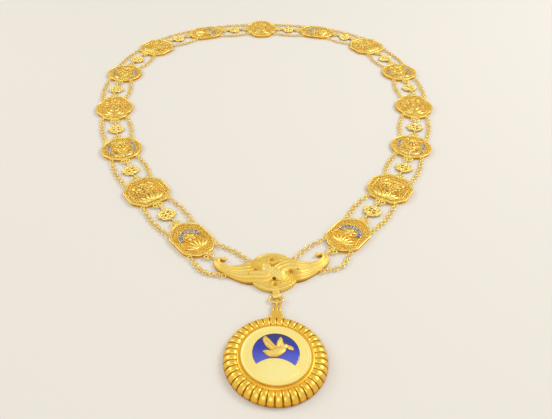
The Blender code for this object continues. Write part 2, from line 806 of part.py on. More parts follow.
def side_run(stations, spread, play):
    """Places down one side, mirrored to the right: knots and plaques with centre and heading, and the last eye.

    spread turns the chain further the nearer it comes to the centre piece, and play is how much more
    each wire loop is drawn off the middle of its eye.
    """
    knots, plaques = [], []
    pivot = Vector((half_length("nape") + EYE_OUT, 0))
    before = 0.0
    for step, (number, design, degrees, taut) in enumerate(stations):
        angle = math.radians(degrees) + spread * (step + 1) / len(stations)
        middle = (before + angle) / 2
        span = KNOT_LENGTH + 2 * KNOT_REACH + 2 * (EYE_PLAY * taut + play)
        knots.append((number, pivot + heading_vector(middle) * span / 2, middle))
        pivot = pivot + heading_vector(middle) * span
        reach = half_length(design) + EYE_OUT
        centre = pivot + heading_vector(angle) * reach
        plaques.append((number, design, centre, angle))
        pivot = centre + heading_vector(angle) * reach
        before = angle
    return knots, plaques, pivot


def solved(function, start, steps=12, nudge=1e-6):
    """Newton's method for two unknowns."""
    here = np.array(start, float)
    for _ in range(steps):
        value = np.array(function(*here))
        slopes = [(np.array(function(*(here + nudge * np.eye(2)[k]))) - value) / nudge for k in range(2)]
        here = here - np.linalg.solve(np.array(slopes).T, value)
    return here


def lie():
    """How the collar lies: the sides from the nape, and the centre piece held between their ends."""
    pivot, _ = tip_pivot()
    tables = {
        1: [(number, design, right, taut) for number, design, right, _, taut in STATIONS],
        -1: [(number, design, left, taut) for number, design, _, left, taut in STATIONS],
    }
    heights = []
    for stations in tables.values():
        def level(spread, height):
            return side_run(stations, spread, 0.0)[2] - Vector((pivot.x, height + pivot.y))

        heights.append(solved(level, (0.0, -0.2))[1])
    centre = Vector((0, sum(heights) / 2))
    turned = Matrix.Rotation(CENTRE_TURN, 2)
    sides = {}
    for side, stations in tables.items():
        hold = centre + turned @ Vector((side * pivot.x, pivot.y))
        target = Vector((side * hold.x, hold.y))

        def closing(spread, play):
            return side_run(stations, spread, play)[2] - target

        sides[side] = side_run(stations, *solved(closing, (0.0, 0.0)))[:2]
    return centre, sides


def build():
    clear_scene()
    collar = bpy.data.objects.new("collar", None)
    bpy.context.scene.collection.objects.link(collar)
    designs = {name: plaque_mesh(name) for name in ("lobed", "crescent", "octagon", "arched")}
    designs["nape"] = plaque_mesh("nape")
    knot = knot_mesh()
    centre, sides = lie()
    outer_ring = RING_HOLE + RING_WALL + TOUCH
    held_ring = RING_HOLE + RING_WALL / 2

    plaques = {0: [("nape", Vector((0, 0)), math.pi / 2)]}
    nape_runs = []
    for side, (knots, placed) in sides.items():
        word = "right" if side > 0 else "left"
        for number, spot, angle in knots:
            turn = math.pi / 2 - angle if side > 0 else math.pi / 2 + angle
            place(f"knot_{word}_{number}", knot, (side * spot.x, spot.y), turn, PALE_GOLD, collar)
        spots = [("nape", Vector((0, 0)), 0.0)] + [(d, c, a) for _, d, c, a in placed]
        numbers = [0] + [n for n, _, _, _ in placed]

        def ring_spot(design, spot, angle, across, along):
            """A corner ring's centre, on the side mirrored to the right."""
            corner = corner_ring(design)
            forward = heading_vector(angle)
            inward = Vector((forward.y, -forward.x))
            return spot + forward * corner.y * along + inward * corner.x * across

        runs = {}
        for k in range(len(spots) - 1):
            (d0, c0, a0), (d1, c1, a1) = spots[k], spots[k + 1]
            for which, across in (("inner", 1), ("outer", -1)):
                start = ring_spot(d0, c0, a0, across, 1)
                end = ring_spot(d1, c1, a1, across, -1)
                forward = heading_vector((a0 + a1) / 2)
                away = Vector((forward.y, -forward.x)) * across
                runs[(numbers[k], which)] = (start, end, away)
        last_design, last_spot, last_angle = spots[-1]
        for which, across in (("inner", 1), ("outer", -1)):
            start = ring_spot(last_design, last_spot, last_angle, across, 1)
            local = wing_ring(which)
            end = centre + Matrix.Rotation(CENTRE_TURN, 2) @ Vector((side * local.x, local.y))
            end = Vector((side * end.x, end.y))
            forward = (end - start).normalized()
            runs[(numbers[-1], which)] = (start, end, Vector((forward.y, -forward.x)) * across)

        for (number, which), (start, end, away) in runs.items():
            joined = number in (0, 7)
            bow = TIP_BOW if (number, which) == (1, "outer") else CHAIN_BOW
            points = chain_route(start, end, away, held_ring if joined else outer_ring, outer_ring, bow)
            points = [Vector((side * p.x, p.y, p.z)) for p in points]
            if number == 0:
                nape_runs.append(points)
                continue
            if joined:
                plaques.setdefault((word, number), []).append(points)
                continue
            data = chain_curve(f"chain_{word}_{which}_{number - 1}", points)
            data.materials.append(new_material(*GOLD))
            run = bpy.data.objects.new(data.name, data)
            run.parent = collar
            bpy.context.scene.collection.objects.link(run)

        for number, design, spot, angle in placed:
            turn = math.pi / 2 - angle if side > 0 else math.pi / 2 + angle
            turn += 0 if side > 0 else math.pi
            mesh = designs[design]
            where = Matrix.Translation((side * spot.x, spot.y, 0)) @ Matrix.Rotation(turn, 4, "Z")
            carried = plaques.get((word, number))
            if carried:
                mesh = with_runs(mesh, where, carried, f"plaque_{word}_{number}")
            place(f"plaque_{word}_{number}", mesh, (side * spot.x, spot.y), turn, GOLD, collar)

    where = Matrix.Rotation(math.pi / 2, 4, "Z")
    nape = with_runs(designs["nape"], where, nape_runs, "plaque_0")
    place("plaque_0", nape, (0, 0), math.pi / 2, GOLD, collar)

    place("centre_piece", centre_mesh(), centre, CENTRE_TURN, PALE_GOLD, collar)
    held = centre + Matrix.Rotation(CENTRE_TURN, 2) @ Vector((0, -ROUND_DIAMETER / 2 - STRAP_REACH))
    oval = held - Vector((0, (OVAL_WIDTH - OVAL_WIRE) / 2))
    place("hanger_ring", oval_ring(), oval, 0, GOLD, collar)
    lower = oval - Vector((0, (OVAL_WIDTH - OVAL_WIRE) / 2))
    medal = lower - Matrix.Rotation(MEDAL_TURN, 2) @ Vector((0, medal_hang()))
    for name, mesh, finish in (
        ("medal_petals", petals_mesh(), GOLD),
        ("medal_disc", disc_mesh(), PALE_GOLD),
        ("medal_enamel", enamel_mesh(), BLUE),
        ("medal_dove", dove_mesh(), PALE_GOLD),
    ):
        place(name, mesh, medal, MEDAL_TURN, finish, collar)
    centre_on_origin(collar)


def with_runs(mesh, where, routes, name):
    """A plaque with the chain runs that hang from it, in the plaque's own frame."""
    bm = bmesh.new()
    bm.from_mesh(mesh)
    back = where.inverted()
    runs = [chain_helper([back @ p for p in points]) for points in routes]
    return combined(name, helper(bm, name), runs)


def centre_on_origin(collar):
    """Moves the whole so that the origin lies under the middle of its box."""
    bpy.context.view_layer.update()
    graph = bpy.context.evaluated_depsgraph_get()
    corners = []
    for piece in collar.children:
        evaluated = piece.evaluated_get(graph)
        mesh = evaluated.to_mesh()
        corners += [evaluated.matrix_world @ v.co for v in mesh.vertices]
        evaluated.to_mesh_clear()
    low = [min(c[k] for c in corners) for k in range(3)]
    high = [max(c[k] for c in corners) for k in range(3)]
    collar.location = (-(low[0] + high[0]) / 2, -(low[1] + high[1]) / 2, -low[2])


build()
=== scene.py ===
import math
import random

import bmesh
import bpy
from mathutils import Matrix, Vector


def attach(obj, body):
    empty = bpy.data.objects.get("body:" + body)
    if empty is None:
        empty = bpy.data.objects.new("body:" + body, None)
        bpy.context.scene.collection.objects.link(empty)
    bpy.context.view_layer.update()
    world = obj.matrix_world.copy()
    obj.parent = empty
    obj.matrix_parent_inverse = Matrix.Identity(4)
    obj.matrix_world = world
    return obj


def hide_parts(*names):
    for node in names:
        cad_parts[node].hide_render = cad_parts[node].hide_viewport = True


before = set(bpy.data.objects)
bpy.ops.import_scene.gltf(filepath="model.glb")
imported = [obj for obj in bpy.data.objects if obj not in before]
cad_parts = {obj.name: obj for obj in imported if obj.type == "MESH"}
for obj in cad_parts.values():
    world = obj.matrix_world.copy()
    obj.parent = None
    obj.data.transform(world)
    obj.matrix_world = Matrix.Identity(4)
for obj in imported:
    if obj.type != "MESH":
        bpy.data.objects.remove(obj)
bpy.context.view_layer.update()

bpy.ops.object.select_all(action="DESELECT")
world = bpy.context.scene.world or bpy.data.worlds.new("studio")
bpy.context.scene.world = world

# Everything is worked in millimetres and set down in metres, where the collar's source put it


def colourOf(code):  # an sRGB hex code as the linear colour that a shader wants
    parts = [int(code[k:k + 2], 16) / 255 for k in (1, 3, 5)]
    return tuple(p / 12.92 if p <= 0.04045 else ((p + 0.055) / 1.055) ** 2.4 for p in parts) + (1.0,)


def addNode(tree, kind, inputs=None, stops=None, **settings):
    fresh = tree.nodes.new(kind)
    for name, value in settings.items():
        setattr(fresh, name, value)
    for name, value in (inputs or {}).items():
        if isinstance(value, bpy.types.NodeSocket):
            tree.links.new(value, fresh.inputs[name])
        else:
            fresh.inputs[name].default_value = value
    if stops:
        ramp = fresh.color_ramp.elements
        ramp[0].position, ramp[0].color = stops[0]
        ramp[1].position, ramp[1].color = stops[-1]
        for spot, colour in stops[1:-1]:
            middle = ramp.new(spot)
            middle.color = colour
    return fresh


def takeMesh(piece):  # keeps a modelled piece's mesh as a pattern and drops its object
    mesh = piece.data
    bpy.data.objects.remove(piece)
    return mesh


def pickOnly(piece):  # an operator acts on all that is selected
    bpy.ops.object.select_all(action="DESELECT")
    piece.select_set(True)
    bpy.context.view_layer.objects.active = piece


def asPiece(data):  # a mesh or curve as an object in the scene, picked for the next operators
    piece = bpy.data.objects.new("work", data)
    bpy.context.scene.collection.objects.link(piece)
    pickOnly(piece)
    return piece


def asWork(mesh):
    work = bmesh.new()
    work.from_mesh(mesh)
    return work


def asMesh(work, name):
    mesh = bpy.data.meshes.new(name)
    work.to_mesh(mesh)
    work.free()
    return mesh


def subtract(piece, cutter):
    cut = piece.modifiers.new("cut", "BOOLEAN")
    cut.operation = "DIFFERENCE"
    cut.solver = "EXACT"
    cut.object = cutter
    bpy.ops.object.modifier_apply(modifier="cut")
    bpy.data.objects.remove(cutter)


def turned(x, y, angle):
    return x * math.cos(angle) - y * math.sin(angle), x * math.sin(angle) + y * math.cos(angle)


def stamp(work, pattern, x, y, z=0.0, turn=0.0, size=1.0):
    sizes = size if isinstance(size, tuple) else (size, size, size)
    copied = pattern.copy()
    copied.transform(
        Matrix.Translation((x, y, z)) @ Matrix.Rotation(turn, 4, "Z") @ Matrix.Diagonal((*sizes, 1.0))
    )
    work.from_mesh(copied)
    bpy.data.meshes.remove(copied)


def finishMesh(work, name, *rules):  # a rule gives 0 in a hollow, painted shade, and 1 on a raised place, painted highlight
    mesh = asMesh(work, name)
    values = []
    for first, rule in rules:  # each rule holds from its first vertex on
        values = values[:first] + [min(1.0, max(0.0, rule(v.co))) for v in mesh.vertices[first:]]
    shade = mesh.attributes.new("proud", "FLOAT", "POINT")
    shade.data.foreach_set("value", values)
    return mesh


def setDown(mesh, name, spot, turn, material, slot, *nodes):
    placed = mesh.copy()
    placed.name = name
    where = Vector((spot[0], spot[1], spot[2] if len(spot) > 2 else 0.0)) * 0.001
    placed.transform(
        Matrix.Translation(where) @ Matrix.Rotation(math.radians(turn), 4, "Z") @ Matrix.Scale(0.001, 4)
    )
    placed.materials.clear()
    placed.materials.append(material)
    piece = bpy.data.objects.new(name, placed)
    bpy.context.scene.collection.objects.link(piece)
    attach(piece, "root")
    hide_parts(*nodes)
    return piece


def wireMesh(points, thickness, closed=False, roundness=1, ends=None):  # a drawn wire along points
    line = bpy.data.curves.new("wire", "CURVE")
    line.dimensions = "3D"
    line.bevel_depth = thickness / 2
    line.bevel_resolution = roundness
    line.use_fill_caps = not closed
    spline = line.splines.new("POLY")
    spline.points.add(len(points) - 1)
    for k, (knob, spot) in enumerate(zip(spline.points, points)):
        knob.co = (spot[0], spot[1], spot[2], 1.0)
        if ends:  # thinner towards the ends
            share = k / (len(points) - 1)
            knob.radius = ends + (1 - ends) * math.sin(math.pi * share)
    spline.use_cyclic_u = closed
    asPiece(line)
    bpy.ops.object.convert(target="MESH")
    bpy.ops.object.mode_set(mode="EDIT")
    bpy.ops.mesh.select_all(action="SELECT")
    bpy.ops.mesh.remove_doubles(threshold=0.0005)
    bpy.ops.mesh.normals_make_consistent(inside=False)
    bpy.ops.object.mode_set(mode="OBJECT")
    bpy.ops.object.shade_smooth()
    return takeMesh(bpy.context.object)


def smoothPath(knobs, steps, closed=False):  # a Catmull-Rom curve through a few knobs
    knobs = [Vector(k) for k in knobs]
    count = len(knobs)
    spans = count if closed else count - 1
    path = []
    for span in range(spans):
        a, b, c, d = [
            knobs[(span + k) % count] if closed else knobs[min(count - 1, max(0, span + k))] for k in (-1, 0, 1, 2)
        ]
        for step in range(steps):
            t = step / steps
            path.append(
                0.5 * ((2 * b) + (c - a) * t + (2 * a - 5 * b + 4 * c - d) * t * t + (3 * b - a - 3 * c + d) * t ** 3)
            )
    if not closed:
        path.append(knobs[-1])
    return path


def bevelled(piece, width, segments=2, angle=35):
    edge = piece.modifiers.new("edge", "BEVEL")
    edge.width = width
    edge.segments = segments
    edge.limit_method = "ANGLE"
    edge.angle_limit = math.radians(angle)
    bpy.ops.object.modifier_apply(modifier="edge")


def plateFrom(outline, height, low=0.0):  # a flat plate cut to an outline, its top face left selected in edit mode
    bpy.ops.object.select_all(action="DESELECT")
    bpy.ops.mesh.primitive_circle_add(vertices=len(outline), radius=1, fill_type="NGON")
    piece = bpy.context.object
    for vertex, spot in zip(piece.data.vertices, outline):
        vertex.co = (spot[0], spot[1], low)
    bpy.ops.object.mode_set(mode="EDIT")
    bpy.ops.mesh.select_mode(type="FACE")
    bpy.ops.mesh.select_all(action="SELECT")
    bpy.ops.mesh.normals_make_consistent(inside=False)
    bpy.ops.mesh.extrude_region_move(TRANSFORM_OT_translate={"value": (0, 0, height)})
    return piece


def closePlate(piece, angle=32):
    bpy.ops.mesh.select_all(action="SELECT")
    bpy.ops.mesh.normals_make_consistent(inside=False)
    bpy.ops.object.mode_set(mode="OBJECT")
    bpy.ops.object.shade_smooth_by_angle(angle=math.radians(angle))
    return piece


def ringMesh(reach, wire, around=18, across=8):  # a round ring of drawn wire
    bpy.ops.mesh.primitive_torus_add(
        major_segments=around, minor_segments=across, major_radius=reach, minor_radius=wire / 2,
    )
    bpy.ops.object.shade_smooth()
    return takeMesh(bpy.context.object)


def gridSurface(rows, closedAcross, bottom):  # a relief surface from rows of points, closed with a flat back
    work = bmesh.new()
    made = [[work.verts.new(p) for p in row] for row in rows]
    count = len(made[0])
    for lower, upper in zip(made, made[1:]):
        for k in range(count if closedAcross else count - 1):
            after = (k + 1) % count
            work.faces.new((lower[k], lower[after], upper[after], upper[k]))
    if bottom is not None:
        edges = [e for e in work.edges if e.is_boundary]
        sunk = bmesh.ops.extrude_edge_only(work, edges=edges)["geom"]
        fresh = [g for g in sunk if isinstance(g, bmesh.types.BMVert)]
        for vertex in fresh:
            vertex.co.z = bottom
        rims = [e for e in work.edges if e.is_boundary]
        bmesh.ops.holes_fill(work, edges=rims, sides=0)
    bmesh.ops.remove_doubles(work, verts=work.verts, dist=0.0004)
    bmesh.ops.recalc_face_normals(work, faces=work.faces[:])
    for face in work.faces:
        face.smooth = True
    return work


print("camera, lights and floor")

cameraLook = {"lens": 40.4, "shift": 0.058, "place": (-0.0200, -0.4598, 0.3218), "tilt": 49.24}
lens = bpy.data.cameras.new("camera")
lens.lens = cameraLook["lens"]
lens.sensor_width = 36
lens.shift_x = cameraLook["shift"]
lens.clip_start = 0.01
cameraPiece = bpy.data.objects.new("camera", lens)
cameraPiece.location = cameraLook["place"]
cameraPiece.rotation_euler = (math.radians(cameraLook["tilt"]), 0, 0)
bpy.context.scene.collection.objects.link(cameraPiece)
bpy.context.scene.camera = cameraPiece

lightLook = {
    "key": {"place": (0.95, 0.30, 1.00), "size": 0.50, "power": 7.0, "aim": (0.0, 0.0, 0.0)},
    "side": {"place": (-1.00, 0.35, 0.75), "size": 0.55, "power": 3.0, "aim": (0.0, 0.0, 0.0)},
    "front": {"place": (-0.20, -1.10, 1.00), "size": 0.90, "power": 3.0, "aim": (0.0, -0.05, 0.0)},
}
for name, look in lightLook.items():
    lamp = bpy.data.lights.new(name, "AREA")
    lamp.shape = "SQUARE"
    lamp.size = look["size"]
    lamp.energy = look["power"]
    lampPiece = bpy.data.objects.new(name, lamp)
    lampPiece.location = look["place"]
    lampPiece.rotation_euler = (Vector(look["aim"]) - Vector(look["place"])).to_track_quat("-Z", "Y").to_euler()
    bpy.context.scene.collection.objects.link(lampPiece)
world.use_nodes = True
sky = world.node_tree.nodes.get("Background") or world.node_tree.nodes.new("ShaderNodeBackground")
sky.inputs["Color"].default_value = colourOf("#EEE9E0")
sky.inputs["Strength"].default_value = 0.82
bpy.context.scene.view_settings.view_transform = "Standard"

bpy.ops.mesh.primitive_plane_add(size=6, location=(0, 0, 0))
floor = bpy.context.object
floor.name = "floor"
paper = bpy.data.materials.new("pale_studio_paper")
paper.use_nodes = True
paper.node_tree.nodes["Principled BSDF"].inputs["Base Color"].default_value = colourOf("#E3E0DA")
paper.node_tree.nodes["Principled BSDF"].inputs["Roughness"].default_value = 0.9
floor.data.materials.append(paper)


print("materials")


def giltMaterial(name, look):  # gold plate on cast silver; its colour runs from painted shade, browner, in the hollows to a painted highlight on the tops
    material = bpy.data.materials.new(name)
    material.use_nodes = True
    tree = material.node_tree
    tree.nodes.clear()
    spots = addNode(tree, "ShaderNodeTexCoord").outputs["Object"]
    proud = addNode(tree, "ShaderNodeAttribute", attribute_name="proud").outputs["Fac"]
    # the plating drifts over about 9 mm
    drift = addNode(tree, "ShaderNodeTexNoise", {"Vector": spots, "Scale": 110.0, "Detail": 2.0}).outputs["Fac"]
    mottle = addNode(
        tree, "ShaderNodeTexNoise", {"Vector": spots, "Scale": 900.0, "Detail": 3.0}
    ).outputs["Fac"]
    lean = addNode(tree, "ShaderNodeMath", {0: drift, 1: mottle}, operation="ADD").outputs[0]
    lean = addNode(
        tree, "ShaderNodeMapRange",
        {"Value": lean, "From Min": 0.7, "From Max": 1.3, "To Min": -look["drift"], "To Max": look["drift"]},
    ).outputs[0]
    # painted shade and highlight by height, plus the plating's own drift
    depth = addNode(tree, "ShaderNodeMath", {0: proud, 1: lean}, operation="ADD").outputs[0]
    colour = addNode(
        tree, "ShaderNodeValToRGB", {"Fac": depth},
        stops=[(0.0, colourOf(look["hollow"])), (look["middleAt"], colourOf(look["middle"])),
               (1.0, colourOf(look["top"]))],
    ).outputs["Color"]
    rough = addNode(
        tree, "ShaderNodeMapRange",
        {"Value": depth, "To Min": look["roughHollow"], "To Max": look["roughTop"]},
    ).outputs[0]
    # casting grain and polishing marks of about 0.3 mm, drawn at 0.8 mm so that they show
    grain = addNode(tree, "ShaderNodeTexNoise", {"Vector": spots, "Scale": 1250.0, "Detail": 4.0}).outputs["Fac"]
    bump = addNode(
        tree, "ShaderNodeBump", {"Height": grain, "Strength": look["grain"], "Distance": 0.0002}
    ).outputs["Normal"]
    metal = addNode(
        tree, "ShaderNodeBsdfPrincipled",
        {"Base Color": colour, "Metallic": look["metallic"], "Roughness": rough, "Normal": bump},
    )
    addNode(tree, "ShaderNodeOutputMaterial", {"Surface": metal.outputs["BSDF"]})
    return material


# Filigree and cast relief under a bright gilding that was brushed, not polished: painted highlight lemon on the tops,
# painted shade ochre on the ground
filigreeGilt = giltMaterial("brushed_filigree_gilt", {
    "hollow": "#C4841C", "middle": "#F8C844", "top": "#FFE884", "middleAt": 0.30, "metallic": 0.88,
    "roughHollow": 0.55, "roughTop": 0.32, "drift": 0.10, "grain": 0.25,
})
# Hard gold plate over silver, pickled and burnished on the high places: rich yellow, with painted shade brown in the
# recesses and a painted highlight on the high places
polishedGilt = giltMaterial("burnished_gilt", {
    "hollow": "#A8660C", "middle": "#F0B434", "top": "#FFD860", "middleAt": 0.35, "metallic": 0.94,
    "roughHollow": 0.52, "roughTop": 0.28, "drift": 0.10, "grain": 0.25,
})
# The same plate over a sand-blasted ground: paler, a soft sheen and no mirror
mattGilt = giltMaterial("matt_pale_gilt", {
    "hollow": "#BC7A1C", "middle": "#F0C858", "top": "#FFE88C", "middleAt": 0.5, "metallic": 0.88,
    "roughHollow": 0.60, "roughTop": 0.38, "drift": 0.08, "grain": 0.35,
})
# The disc was blasted finer still: a pale lemon ground, the lightest gold on the piece
sandedGilt = giltMaterial("sanded_lemon_gilt", {
    "hollow": "#D4A236", "middle": "#F8E27C", "top": "#FFF2A6", "middleAt": 0.45, "metallic": 0.62,
    "roughHollow": 0.62, "roughTop": 0.46, "drift": 0.10, "grain": 0.45,
})
# Drawn gilt wire of the chains and loops, smoother than the castings
wireGilt = giltMaterial("drawn_wire_gilt", {
    "hollow": "#C48A1E", "middle": "#F2C24A", "top": "#FFE484", "middleAt": 0.4, "metallic": 0.94,
    "roughHollow": 0.38, "roughTop": 0.26, "drift": 0.10, "grain": 0.12,
})
# Painted shade: the dotted lines between the petals made dark brown, where the grooves fall in shade
dullGilt = giltMaterial("painted_groove_shade_gilt", {
    "hollow": "#5E3808", "middle": "#8C5A12", "top": "#C68C28", "middleAt": 0.5, "metallic": 1.0,
    "roughHollow": 0.6, "roughTop": 0.4, "drift": 0.12, "grain": 0.3,
})


def firedEnamel(name, look):  # vitreous enamel: ground glass fired on the gilt, clear, deep and very glossy
    material = bpy.data.materials.new(name)
    material.use_nodes = True
    tree = material.node_tree
    tree.nodes.clear()
    spots = addNode(tree, "ShaderNodeTexCoord").outputs["Object"]
    cloud = addNode(
        tree, "ShaderNodeTexNoise", {"Vector": spots, "Scale": look["cloudScale"], "Detail": 3.0}
    ).outputs["Fac"]
    if "shadowReflectionFade" in look:  # painted light: the field darker at its top, a painted shadow of the disc's rim, and paler towards its foot, a painted reflection
        height = addNode(tree, "ShaderNodeSeparateXYZ", {"Vector": spots}).outputs["Y"]
        height = addNode(
            tree, "ShaderNodeMapRange",
            {"Value": height, "From Min": look["shadowReflectionFade"][0], "From Max": look["shadowReflectionFade"][1], "To Min": 1.0, "To Max": 0.0},
        ).outputs[0]
        cloud = addNode(
            tree, "ShaderNodeMix", {"Factor": 0.72, "A": cloud, "B": height}, data_type="FLOAT"
        ).outputs[0]
    colour = addNode(
        tree, "ShaderNodeValToRGB", {"Fac": cloud},
        stops=[(look["darkAt"], colourOf(look["dark"])), (0.5, colourOf(look["middle"])),
               (look["paleAt"], colourOf(look["pale"]))],
    ).outputs["Color"]
    if "cell" in look:  # bubbles and darker pools between the wires
        pools = addNode(
            tree, "ShaderNodeTexVoronoi", {"Vector": spots, "Scale": 1000.0 / look["cell"]}
        ).outputs["Distance"]
        pools = addNode(
            tree, "ShaderNodeMapRange", {"Value": pools, "From Min": 0.1, "From Max": 0.7}
        ).outputs[0]
        colour = addNode(
            tree, "ShaderNodeMix", {6: colourOf(look["dark"]), 7: colour, "Factor": pools},
            data_type="RGBA",
        ).outputs[2]
    glass = addNode(
        tree, "ShaderNodeBsdfPrincipled",
        {"Base Color": colour, "Metallic": 0.0, "Roughness": look["rough"], "IOR": 1.52,
         "Coat Weight": look["coat"], "Coat Roughness": 0.04},
    )
    addNode(tree, "ShaderNodeOutputMaterial", {"Surface": glass.outputs["BSDF"]})
    return material


fieldEnamel = firedEnamel("royal_blue_enamel", {
    "dark": "#070E4A", "middle": "#1826AC", "pale": "#5A68D6", "darkAt": 0.10, "paleAt": 0.95, "rough": 0.12,
    "coat": 0.6, "cloudScale": 90.0, "shadowReflectionFade": (-0.236, -0.216),
})
cellEnamel = firedEnamel("lavender_cell_enamel", {
    "dark": "#3C4468", "middle": "#8890BC", "pale": "#D6D8E6", "darkAt": 0.3, "paleAt": 0.68, "rough": 0.32,
    "coat": 0.15, "cloudScale": 620.0, "cell": 0.95,
})


print("patterns: beads, petals, leaves and curls")


def beadMesh(segments, rings):
    bpy.ops.mesh.primitive_uv_sphere_add(segments=segments, ring_count=rings, radius=1)
    bpy.ops.object.shade_smooth()
    return takeMesh(bpy.context.object)


bead = beadMesh(8, 4)
ball = beadMesh(18, 10)  # a bead that is seen large needs more faces

bpy.ops.mesh.primitive_uv_sphere_add(segments=10, ring_count=6, radius=1)
bpy.ops.object.mode_set(mode="EDIT")
bpy.ops.mesh.select_all(action="SELECT")
bpy.ops.transform.resize(value=(1.0, 0.66, 0.42))
bpy.ops.transform.translate(value=(1.0, 0, 0))
bpy.ops.object.mode_set(mode="OBJECT")
for vertex in bpy.context.object.data.vertices:  # the petal widens outwards, and its middle dips
    vertex.co.y *= 0.62 + 0.48 * vertex.co.x / 2
    if vertex.co.z > 0.1 and abs(vertex.co.y) < 0.15:
        vertex.co.z -= 0.13
bpy.ops.object.shade_smooth()
petal = takeMesh(bpy.context.object)


def leafMesh(length, width, height):  # a pointed leaf from its foot at 0 along +Y, with a raised rib
    bpy.ops.mesh.primitive_uv_sphere_add(segments=12, ring_count=8, radius=1, rotation=(math.pi / 2, 0, 0))
    piece = bpy.context.object
    bpy.ops.object.transform_apply(rotation=True)
    for vertex in piece.data.vertices:
        share = (vertex.co.y + 1) / 2
        around = math.hypot(vertex.co.x, vertex.co.z) or 1e-9
        side, rise = vertex.co.x / around, vertex.co.z / around
        body = math.sin(math.pi * share ** 0.8) ** 0.9 if 0 < share < 1 else 0.0
        ridge = 0.55 + 0.65 * (1 - abs(side)) ** 1.5 + (0.25 if abs(side) > 0.8 else 0)
        vertex.co = (side * body * width / 2, share * length, rise * body * height * ridge)
    bpy.ops.object.shade_smooth()
    return takeMesh(piece)


leaf = leafMesh(1.0, 0.30, 0.10)
broadLeaf = leafMesh(1.0, 0.42, 0.10)


def curlMesh(hand):  # a filigree curl of flat wire, one turn and a tail
    path = []
    for k in range(13):
        angle = hand * (0.4 + k * 0.56)
        reach = 0.16 + 0.084 * k
        path.append((reach * math.cos(angle), reach * math.sin(angle), 0.0))
    return wireMesh(path, 0.46, roundness=0)


curls = [curlMesh(1), curlMesh(-1)]


def blossomMesh(count, reach, inner=0):
    work = bmesh.new()
    for k in range(count):
        stamp(work, petal, 0, 0, 0, 2 * math.pi * k / count, (reach / 2, reach * 2.4 / count, reach * 0.42))
    for k in range(inner):
        stamp(work, petal, 0, 0, 0.28 * reach, 2 * math.pi * (k + 0.5) / inner,
              (reach / 3.4, reach * 1.5 / inner, reach * 0.30))
    stamp(work, bead, 0, 0, 0.30 * reach, 0, (reach * 0.2, reach * 0.2, reach * 0.16))
    return asMesh(work, "blossom")


fivePetals = blossomMesh(5, 1.0)
sixPetals = blossomMesh(6, 1.0, 5)
manyPetals = blossomMesh(9, 1.0, 6)


print("plaques")

plaqueLook = {
    "field": 2.1, "steps": 120, "rimWire": 1.10, "rimIn": 0.56, "rimHigh": 2.40,
    "rimBead": 0.46, "rimPitch": 1.02, "beadIn": 1.62,
    "curl": 0.98, "curlPitch": 2.15, "curlIn": 2.75, "grain": 0.38, "grainPitch": 0.96, "grainIn": 2.1,
    "plateIn": 0.42, "stemWire": 0.72, "enamelFoot": 2.2,
    "ringReach": 1.55, "ringWire": 0.90, "ringMiddle": 1.85,
    "eyeReach": 1.58, "eyeWire": 1.10, "bowWire": 1.0,
}
lobedQuarter = [(1.00, 0.18), (0.88, 0.44), (0.69, 0.58), (0.62, 0.80), (0.34, 1.00)]
octagonQuarter = [(1.00, 0.44), (0.51, 1.00)]
archedQuarter = [(1.00, 0.52), (0.45, 0.94), (0.00, 1.00)]
halfSizes = {"lobed": (18.0, 21.0), "crescent": (18.0, 17.3), "octagon": (17.8, 17.8), "arched": (14.3, 19.9)}
ringSpots = {"lobed": (11.81, 18.21), "crescent": (11.66, 14.70), "octagon": (11.98, 16.76),
             "arched": (11.94, 15.04), "nape": (11.99, 14.95)}


def roundedOutline(quarter, halfWidth, halfLength, cut, steps):
    corners = [Vector((x * halfWidth, y * halfLength)) for x, y in quarter]
    corners += [Vector((-c.x, c.y)) for c in reversed(corners) if c.x > 0]
    corners += [Vector((c.x, -c.y)) for c in reversed(corners)]
    path = []
    for k, here in enumerate(corners):
        before, after = corners[k - 1], corners[(k + 1) % len(corners)]
        start = here + (before - here).normalized() * min(cut, (before - here).length / 2)
        end = here + (after - here).normalized() * min(cut, (after - here).length / 2)
        path += [start.lerp(here, t).lerp(here.lerp(end, t), t) for t in (0, 0.25, 0.5, 0.75, 1)]
    return evenly(path, steps)


def evenly(path, steps):  # the same closed line with its points spread evenly
    lengths = [(path[(k + 1) % len(path)] - path[k]).length for k in range(len(path))]
    total = sum(lengths)
    spread, k, passed = [], 0, 0.0
    for step in range(steps):
        goal = total * step / steps
        while passed + lengths[k] < goal - 1e-9:
            passed += lengths[k]
            k += 1
        share = (goal - passed) / lengths[k] if lengths[k] else 0.0
        spread.append(path[k].lerp(path[(k + 1) % len(path)], share))
    return spread


def movedIn(outline, distance):
    count = len(outline)
    moved = []
    for k, here in enumerate(outline):
        way = (outline[(k + 1) % count] - outline[k - 1]).normalized()
        moved.append(here + Vector((-way.y, way.x)) * distance)
    return moved


def plaqueOutline(design):
    if design == "crescent":
        halfWidth, halfLength = halfSizes[design]
        count = plaqueLook["steps"]
        angles = [2 * math.pi * k / count for k in range(count)]
        return [Vector((halfWidth * math.cos(a), halfLength * math.sin(a))) for a in angles]
    quarter = {"lobed": lobedQuarter, "octagon": octagonQuarter, "arched": archedQuarter}[design]
    cut = {"lobed": 3.2, "octagon": 1.2, "arched": 3.0}[design]
    return roundedOutline(quarter, *halfSizes[design], cut, plaqueLook["steps"])


def inside(outline, spot, margin):
    if min((spot - p).length for p in outline) < margin:
        return False
    crossings = 0
    for k, here in enumerate(outline):
        after = outline[(k + 1) % len(outline)]
        if (here.y > spot.y) != (after.y > spot.y):
            if spot.x < here.x + (after.x - here.x) * (spot.y - here.y) / (after.y - here.y):
                crossings += 1
    return crossings % 2 == 1


